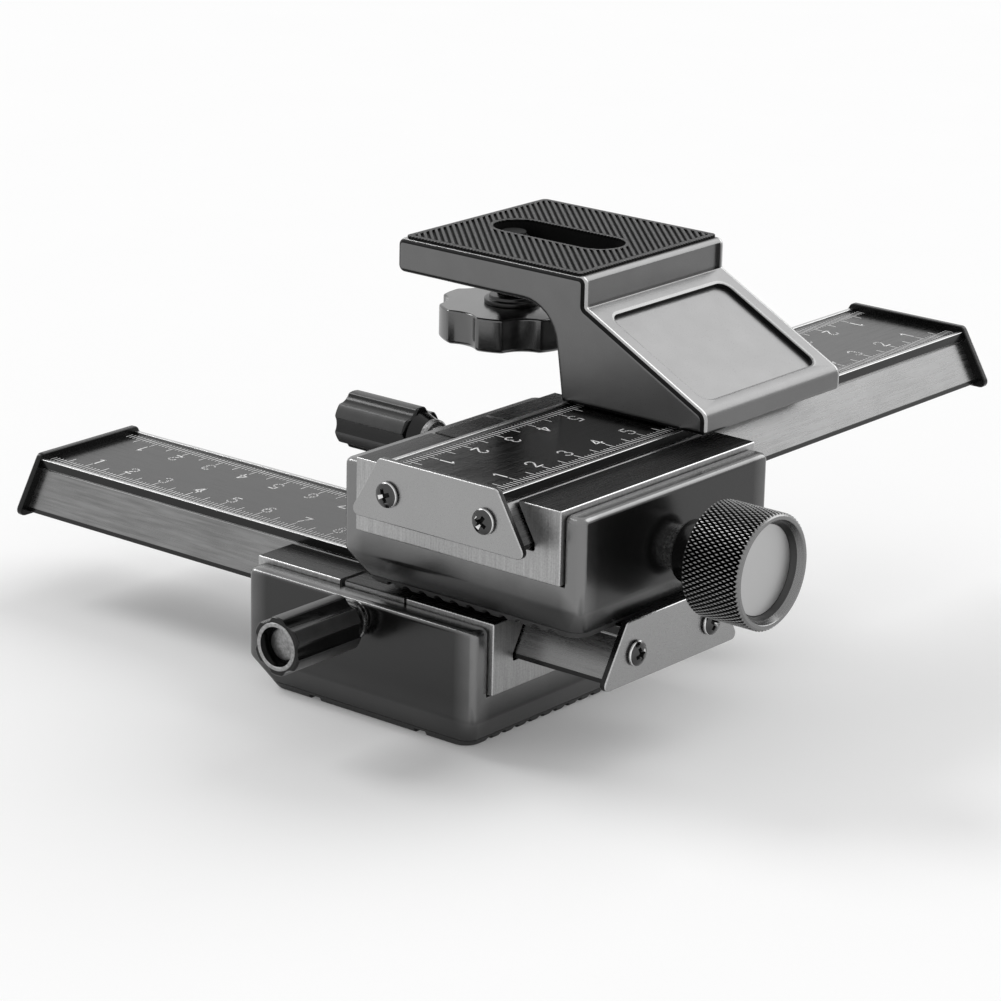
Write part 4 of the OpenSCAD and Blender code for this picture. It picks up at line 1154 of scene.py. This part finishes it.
class RAIL_OT_drive_knobs(bpy.types.Operator):
    """Builds the knurled drive knobs with their discs and hub rings"""

    bl_idname = "rail.drive_knobs"
    bl_label = "Drive knobs"

    def execute(self, context):
        knob = knurled_knob()
        hub_r, hub_foot, grub_r, grub_z = 6.3, 32.9, 1.53, 36.15
        floor_r = sizes().knob_d / 2 - 2.5
        disc = soft_ring(floor_r - 0.05, 0, KNOB_FLOOR, DISC_TOP, 0.14)
        hub = soft_ring(hub_r, SHAFT_HOLE_R, hub_foot, KNOB_V, 0.45, 4)
        # A lighter rim along the hub ring's lower outer edge, a painted highlight
        hub.paint(lambda c, n: 1 if c.z < hub_foot + 0.5
                  and math.hypot(c.x, c.y) > hub_r - 0.5 else 0)
        hub.carve(drill(grub_r, 0, 8, 32,
                        Matrix.Translation((0, 0, grub_z)) @ turn("X", -90))).tidy()
        bush = soft_ring(4.5, SHAFT_HOLE_R, 15.0, 32.8, 0.25)
        for level in STAGE:
            place, body = drive_place(level), f"{level}_drive"
            piece(f"{level}_knurled_knob", knob, "knurl knob_lip knob_dark", place, body,
                  [f"{level}_drive_knob"], smooth=24)
            piece(f"{level}_knob_disc", disc, "disc", place, body,
                  [f"{level}_drive_disc"])
            piece(f"{level}_hub_ring", hub, "plastic knob_lip", place, body,
                  [f"{level}_drive_collar"])
            piece(f"{level}_bushing", bush, "bushing", place, CARRIER[level],
                  [f"{level}_shaft_bushing"])
        return {"FINISHED"}


def fluted(count, outer, flute_r, depth, first, soft):
    """A grip's radius by direction, with hollows whose edges are softened."""
    centre, step = outer + flute_r - depth, math.tau / count

    def radius(angle):
        off = (angle - first + step / 2) % step - step / 2
        reach = centre * math.sin(abs(off))
        if reach >= flute_r:
            return outer
        hollow = centre * math.cos(off) - math.sqrt(flute_r ** 2 - reach ** 2)
        if hollow < outer:
            mix = 0.5 + 0.5 * math.tanh((outer - hollow) / soft)
            return outer * (1 - mix) + hollow * mix
        return outer - soft * 0.5 * (1 - math.tanh((hollow - outer) / soft))
    return radius


LOCK_NECK = 31.4
LOCK_GRIP = 35.3
LOCK_SEAT = 51.2
LOCK_END = 54.0


def lock_knob():
    """The fluted lock knob with its tapered neck and the ring's seat."""
    flutes, outer, neck_r, stem_r, seat_r = 6, 6.0, 3.7, 5.0, 4.92
    radius = fluted(flutes, outer, 3.2, 0.75, math.radians(90 + 180 / flutes), 0.12)
    grip = wavy(radius, edge_levels(LOCK_GRIP, LOCK_END, 0.5, 0.45), 192)
    grip.carve(drill(seat_r, LOCK_SEAT, 60, 64))
    neck = revolve([(0, LOCK_NECK), (neck_r, LOCK_NECK), (neck_r + 0.4, LOCK_NECK + 0.3),
                    (neck_r + 0.45, LOCK_NECK + 1.1), (neck_r + 0.25, LOCK_NECK + 1.2),
                    (stem_r, LOCK_GRIP), (stem_r, LOCK_GRIP + 0.4), (0, LOCK_GRIP + 0.4)], 64)
    grip.tidy(width=1e-3)
    grip.join(neck.tidy())

    def kind(centre, normal):
        if centre.z < LOCK_NECK + 1.15:
            return 2
        # The ridges' crests take a lighter plastic as a painted highlight
        on_ridge = LOCK_GRIP + 0.9 < centre.z < LOCK_END - 0.5
        return 1 if on_ridge and math.hypot(centre.x, centre.y) > outer - 0.2 else 0
    return grip.paint(kind)


class RAIL_OT_lock_knobs(bpy.types.Operator):
    """Builds the fluted lock knobs with their screws, rings and caps"""

    bl_idname = "rail.lock_knobs"
    bl_label = "Lock knobs"

    def execute(self, context):
        knob = lock_knob()
        ring_in = 4.0
        ring = soft_ring(4.9, ring_in, LOCK_SEAT, LOCK_END + 0.2, 0.2)
        # The ring's inner wall and the cap's outer disc are black plastic as painted shade in the
        # ring's hole
        ring.paint(lambda c, n: 1 if math.hypot(c.x, c.y) < ring_in + 0.1
                   and abs(n.z) < TURNED else 0)
        cap = soft_ring(ring_in - 0.03, 0, LOCK_SEAT, LOCK_SEAT + 0.3, 0.1)
        cap.paint(lambda c, n: 1)
        cap.join(soft_ring(3.3, 0, LOCK_SEAT + 0.2, LOCK_SEAT + 0.8, 0.25))
        screw = thread(3.0, 0.45, sizes().lock_pitch, 25.33, 50.3)
        for level in STAGE:
            for name, shape, finishes, slot, node in (
                    ("fluted_knob", knob, "plastic plastic_ridge bushing", "black_plastic",
                     "knob"),
                    ("knob_ring", ring, "lock_ring plastic", "pale_metal", "ring"),
                    ("knob_cap", cap, "cap plastic", "pale_metal", "cap"),
                    ("lock_thread", screw, "steel", "steel", "screw")):
                piece(f"{level}_{name}", shape, finishes, lock_place(level),
                      f"{level}_lock", [f"{level}_lock_{node}"])
        return {"FINISHED"}


TIP_X, PLATE_H, STEP_X, SLOPE_H = 59.7, 7.4, 10.0, 20.6
HEEL_X, HEEL_H, TOE_X, LEAN, BRK_W = 20.8, 4.4, 15.5, 2.85, 48.0
UNDER_H = TOP_H - PLATE_H
SLOT_TIP, SLOT_ROOT, SLOT_W, SCREW_SLOT_W = 51.9, 19.5, 11.5, 6.8


def slot_shape(width, low, high, border=0.0):
    """A round-ended slot along the platform, larger by a border."""
    steps = 24
    tip, root, r = width / 2 - SLOT_TIP, -SLOT_ROOT - width / 2, width / 2 + border
    turns = [math.pi * (i / steps - 0.5) for i in range(steps + 1)]
    flat = [(root + r * math.cos(t), r * math.sin(t)) for t in turns]
    flat += [(tip - r * math.cos(t), -r * math.sin(t)) for t in turns]
    return Shape().rings([[(x, y, z) for x, y in flat] for z in (low, high)]).tidy()


def bracket_shape(edge):
    """The bracket's casting with its sunk panel, back hollow and slot."""
    points = [(-TOE_X, 0), (HEEL_X, 0), (HEEL_X, HEEL_H), (-STEP_X, SLOPE_H),
              (-STEP_X, TOP_H), (-TIP_X, TOP_H), (-TIP_X, UNDER_H),
              (-TOE_X - LEAN, UNDER_H)]
    radii = [0.3, 0.9, 2.4, 0.6, 1.6, 1.6, 1.6, 8.5]
    shape = prism(points, radii, -BRK_W / 2, BRK_W / 2, edge, "Y", steps=8,
                  edge_steps=5).tidy()
    run, rise = HEEL_X + STEP_X, SLOPE_H - HEEL_H
    slope = math.atan2(rise, run)
    top_in, ends_in, sides_in, panel_r, sunk_by, flare_by = 3.6, 7.0, 4.6, 2.6, 1.2, 1.0
    span, width = math.hypot(run, rise) - ends_in, BRK_W - 2 * sides_in
    place = (Matrix.Translation((-STEP_X, 0, SLOPE_H)) @ turn("Y", math.degrees(slope))
             @ Matrix.Translation((top_in + span / 2, 0, 0)))
    panel = prism(box_points(span, width), panel_r, -sunk_by, 3, steps=8)
    shape.carve(Shape().join(panel, place).tidy())
    flare = Shape().rings([
        [(x, y, z) for x, y in outline(box_points(span + 2 * out, width + 2 * out),
                                       panel_r + out, steps=8)]
        for out, z in ((-0.1, -0.32), (0.6, 0.0), (flare_by, 0.2))])
    shape.carve(Shape().join(flare, place).tidy())
    back_in, back_deep, back_top = 1.8, 0.7, 0.9
    shape.carve(block((-STEP_X - back_deep, back_in - BRK_W / 2, SLOPE_H),
                      (-STEP_X + 1, BRK_W / 2 - back_in, TOP_H - back_top)))
    shape.carve(slot_shape(SLOT_W, UNDER_H + 2, TOP_H + 2))
    shape.carve(slot_shape(SCREW_SLOT_W, UNDER_H - 2, TOP_H + 2))
    shape.tidy(0.3, 3, 40)
    across = Vector((math.cos(slope), 0, -math.sin(slope)))
    up = Vector((-across.z, 0, across.x))
    top = Vector((-STEP_X, 0, SLOPE_H))
    level, steep, side_band = 0.97, 0.6, 1.5

    def kind(centre, normal):
        sunk, along = (centre - top).dot(up), (centre - top).dot(across)
        inside = top_in - flare_by < along < top_in + span + flare_by
        inside = inside and abs(centre.y) < BRK_W / 2 - sides_in + flare_by
        # The sunk panel's walls are darkened as painted shade, its flared rim is lightened as a
        # painted highlight
        if inside and -sunk_by < sunk < 0.1 and normal.dot(up) < level:
            return 2 if normal.dot(up) < steep else 3
        in_slot = -SLOT_TIP - 0.1 < centre.x < -SLOT_ROOT + 0.1
        in_slot = in_slot and abs(centre.y) < SLOT_W / 2 + 0.1
        # The slot's inside is darkened as painted shade
        if in_slot and UNDER_H + 0.1 < centre.z < TOP_H - 0.05:
            return 2
        if abs(centre.y) < BRK_W / 2 - side_band:
            return 0
        # The rounded sides carry a dark band and a light band, painted shade and a painted
        # highlight
        if TURNED < abs(normal.y) < FLAT:
            return 2
        return 1 if 0.1 < abs(normal.y) < TURNED else 0
    return shape.paint(kind)


class RAIL_OT_bracket(bpy.types.Operator):
    """Builds the angled bracket"""

    bl_idname = "rail.bracket"
    bl_label = "Bracket"

    def execute(self, context):
        piece("bracket_casting", bracket_shape(sizes().bracket_edge),
              "bracket bracket_edge seam panel_rim", BRACKET_PLACE, "upper_slide",
              ["bracket"])
        return {"FINISHED"}


class RAIL_OT_platform_pad(bpy.types.Operator):
    """Builds the rubber pad with its diagonal ribs"""

    bl_idname = "rail.platform_pad"
    bl_label = "Platform pad"

    def execute(self, context):
        pitch = sizes().pad_pitch
        pad_l, pad_w, border, slot_border = 46.5, 46.4, 1.2, 0.8
        rib_foot_share, rib_top_share, reach, half_len = 0.42, 0.2, 70, 36
        middle = -(TIP_X + STEP_X) / 2
        low, high = TOP_H, TOP_H + 0.6
        flat = [(x + middle, y) for x, y in box_points(pad_l, pad_w)]
        base = prism(flat, border, low, high - 0.04, 0.12).tidy()
        inner = [(x + middle, y) for x, y in box_points(pad_l - 2 * border, pad_w - 2 * border)]
        area = prism(inner, border / 2, low + 0.1, high + 1).tidy()
        recess = prism(inner, border / 2, low + 0.16, high + 1).tidy()
        rim = slot_shape(SLOT_W, low - 1, high + 2, slot_border)
        base.carve(recess.carve(rim))
        area.carve(rim)
        base.carve(slot_shape(SLOT_W, low - 1, high + 2))
        ribs = Shape()
        count = int(reach / pitch)
        for k in range(-count // 2, count // 2 + 1):
            offset = k * pitch
            foot, top = pitch * rib_foot_share, pitch * rib_top_share
            section = [(offset - foot, low + 0.12), (offset + foot, low + 0.12),
                       (offset + top, high), (offset - top, high)]
            # Ribs run along the platform's (+x, -y) diagonal
            ribs.rings([[(a * DIAGONAL + b * DIAGONAL + middle,
                          a * -DIAGONAL + b * DIAGONAL, z)
                         for b, z in section] for a in (-half_len, half_len)])
        ribs.tidy().carve(area, "INTERSECT")
        base.join(ribs.tidy())
        piece("rib_pad", base, "pad", BRACKET_PLACE, "upper_slide",
              ["platform_pad"], smooth=25)
        return {"FINISHED"}


THUMB_Z, THUMB_H = 3.2, 7.4


class RAIL_OT_camera_screw(bpy.types.Operator):
    """Builds the camera screw, its shoulder ring and the lobed thumb knob"""

    bl_idname = "rail.camera_screw"
    bl_label = "Camera screw"

    def execute(self, context):
        top, screw_r, tip_z = THUMB_Z + THUMB_H, 3.175, 26.1
        screw = thread(screw_r, 0.6, sizes().camera_pitch, THUMB_Z + 1, tip_z, 40)
        hole, foot_r, neck_r, foot_z, neck_z = 3.2, 6.0, 5.0, top + 1.0, top + 1.8
        ring = revolve(outline([(hole, top), (foot_r, top), (foot_r, foot_z),
                                (neck_r, foot_z), (neck_r, neck_z), (hole, neck_z)],
                               0.18, steps=3), 72).tidy()
        lobes, outer, hollow_r, depth, lobe_angle = 7, 15.8, 7.5, 1.8, -69
        radius = fluted(lobes, outer, hollow_r, depth,
                        math.radians(lobe_angle + 180 / lobes), 0.25)
        knob = wavy(radius, edge_levels(THUMB_Z, top, 1.0, 0.5, 5), 240)
        # The camera screw is blackened, and kept near black as painted shade inside the slot
        for name, shape, metal, slot, node in (
                ("camera_thread_screw", screw, "black_screw", "steel", "camera_screw"),
                ("shoulder_ring", ring, "knob_dark", "black_plastic", "camera_screw_collar"),
                ("lobed_knob", knob, "thumb", "knob_metal", "thumb_knob")):
            piece(name, shape, metal, CAMERA_PLACE, "camera_screw_turn", [node])
        return {"FINISHED"}


class RAIL_OT_inner_parts(bpy.types.Operator):
    """Gives the solids that stay as they are their metal"""

    bl_idname = "rail.inner_parts"
    bl_label = "Inner parts"

    def execute(self, context):
        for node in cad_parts.values():
            if not node.hide_render:
                node.data.materials.clear()
                node.data.materials.append(finish("inner"))
        return {"FINISHED"}


# Stage

WHITE = (1, 1, 1, 1)
FLOOR_W = 40.0
KEY_TOWARD = (0.86, 0.12, -0.72)
BACK_TOWARD = (-0.2, -0.74, -0.58)
BACK_WIDTH = 50
CAMERA_AZIMUTH, CAMERA_ELEVATION, CAMERA_ROLL = 39.005, 17.786, 1.224
CAMERA_AT = (467.92, -563.68, 274.49)


def floor_material(color, glow):
    """A pale floor that keeps the shadow."""
    f = Finish("studio_floor")
    tone = f.shades(f.spread(f.noise(40.0, 2)), color, 0.995, 1.0)
    matt = f.node("ShaderNodeBsdfDiffuse", {"Color": tone})
    white = f.node("ShaderNodeEmission", {"Color": WHITE, "Strength": 1.0})
    mixed = f.node("ShaderNodeMixShader", {0: f.seen() * glow, 1: matt, 2: white})
    f.node("ShaderNodeOutputMaterial", {"Surface": mixed})
    return f.owner


def studio_world(fill):
    """Even light from all around, which the camera, metal and glass see as white."""
    f = Finish("studio", bpy.data.worlds.new("studio"))
    level = f.ramp(f.seen(), 0.0, 1.0, fill, 1.0)
    light = f.node("ShaderNodeBackground", {"Color": WHITE, "Strength": level})
    f.node("ShaderNodeOutputWorld", {"Surface": light})
    return f.owner


def sun(name, strength, width, toward):
    """A lamp far off, whose light falls one way."""
    lamp = bpy.data.lights.new(name, "SUN")
    lamp.energy, lamp.angle = strength, width
    obj = put(name, lamp)
    obj.rotation_mode = "QUATERNION"
    obj.rotation_quaternion = Vector(toward).normalized().to_track_quat("-Z", "Y")


def camera_view(azimuth, elevation, roll, at):
    """The camera's place from its angles in degrees and its point in millimetres."""
    azimuth, elevation, roll = (math.radians(v) for v in (azimuth, elevation, roll))
    right = Vector((math.cos(azimuth), math.sin(azimuth), 0))
    ahead = Vector((-math.sin(azimuth) * math.cos(elevation),
                    math.cos(azimuth) * math.cos(elevation), -math.sin(elevation)))
    up = right.cross(ahead)
    across = right * math.cos(roll) + up * math.sin(roll)
    above = up * math.cos(roll) - right * math.sin(roll)
    view = Matrix((across, above, -ahead)).transposed().to_4x4()
    view.translation = Vector(at) * MM
    return view


class RAIL_OT_stage(bpy.types.Operator):
    """Builds the floor, the light and the camera"""

    bl_idname = "rail.stage"
    bl_label = "Stage"

    def execute(self, context):
        scene, s = context.scene, context.scene.rail_stage
        mesh = bpy.data.meshes.new("floor")
        mesh.from_pydata([(x, y, 0) for x, y in box_points(FLOOR_W, FLOOR_W)], [],
                         [[0, 1, 2, 3]])
        mesh.materials.append(floor_material(s.floor, s.floor_glow))
        floor = put("floor", mesh)

        scene.world = studio_world(s.fill)
        sun("key", s.sun, s.softness, KEY_TOWARD)
        sun("back_light", s.panel, math.radians(BACK_WIDTH), BACK_TOWARD)

        data = bpy.data.cameras.new("camera")
        data.lens, data.sensor_width, data.sensor_fit = s.lens, 36, "HORIZONTAL"
        data.clip_start = 0.01
        camera = put("camera", data)
        camera.matrix_world = camera_view(CAMERA_AZIMUTH, CAMERA_ELEVATION, CAMERA_ROLL,
                                          CAMERA_AT)
        scene.camera = camera
        scene.view_settings.view_transform = "Standard"
        return {"FINISHED"}


STEPS = ("carriages", "clamp_shoes", "base_pads", "rails", "scales", "end_plates",
         "plate_screws", "drive_knobs", "lock_knobs", "bracket", "platform_pad",
         "camera_screw", "inner_parts", "stage")


class RAIL_PT_sidebar(bpy.types.Panel):
    """Lists the pieces, sizes and colours of the focusing rail"""

    bl_idname = "RAIL_PT_sidebar"
    bl_label = "Focusing rail"
    bl_space_type = "VIEW_3D"
    bl_region_type = "UI"
    bl_category = "Focusing rail"

    def draw(self, context):
        for step in STEPS:
            self.layout.operator(f"rail.{step}")
        for group in (context.scene.rail_sizes, context.scene.rail_colours,
                      context.scene.rail_stage):
            column = self.layout.column()
            for key in group.__annotations__:
                column.prop(group, key)


GROUPS = {"rail_colours": RailColours, "rail_sizes": RailSizes, "rail_stage": RailStage}
CLASSES = (
    *GROUPS.values(), RAIL_OT_carriages, RAIL_OT_clamp_shoes, RAIL_OT_base_pads,
    RAIL_OT_rails, RAIL_OT_scales, RAIL_OT_end_plates, RAIL_OT_plate_screws,
    RAIL_OT_drive_knobs, RAIL_OT_lock_knobs, RAIL_OT_bracket, RAIL_OT_platform_pad,
    RAIL_OT_camera_screw, RAIL_OT_inner_parts, RAIL_OT_stage, RAIL_PT_sidebar,
)


def register():
    """Registers the classes and the scene's properties."""
    for each in CLASSES:
        bpy.utils.register_class(each)
    for name, group in GROUPS.items():
        setattr(bpy.types.Scene, name, PointerProperty(type=group))


def unregister():
    """Takes the classes and the scene's properties out again."""
    for name in GROUPS:
        delattr(bpy.types.Scene, name)
    for each in reversed(CLASSES):
        bpy.utils.unregister_class(each)


def main():
    """Builds every piece and the stage."""
    register()
    for step in STEPS:
        getattr(bpy.ops.rail, step)()


if __name__ == "__main__":
    main()
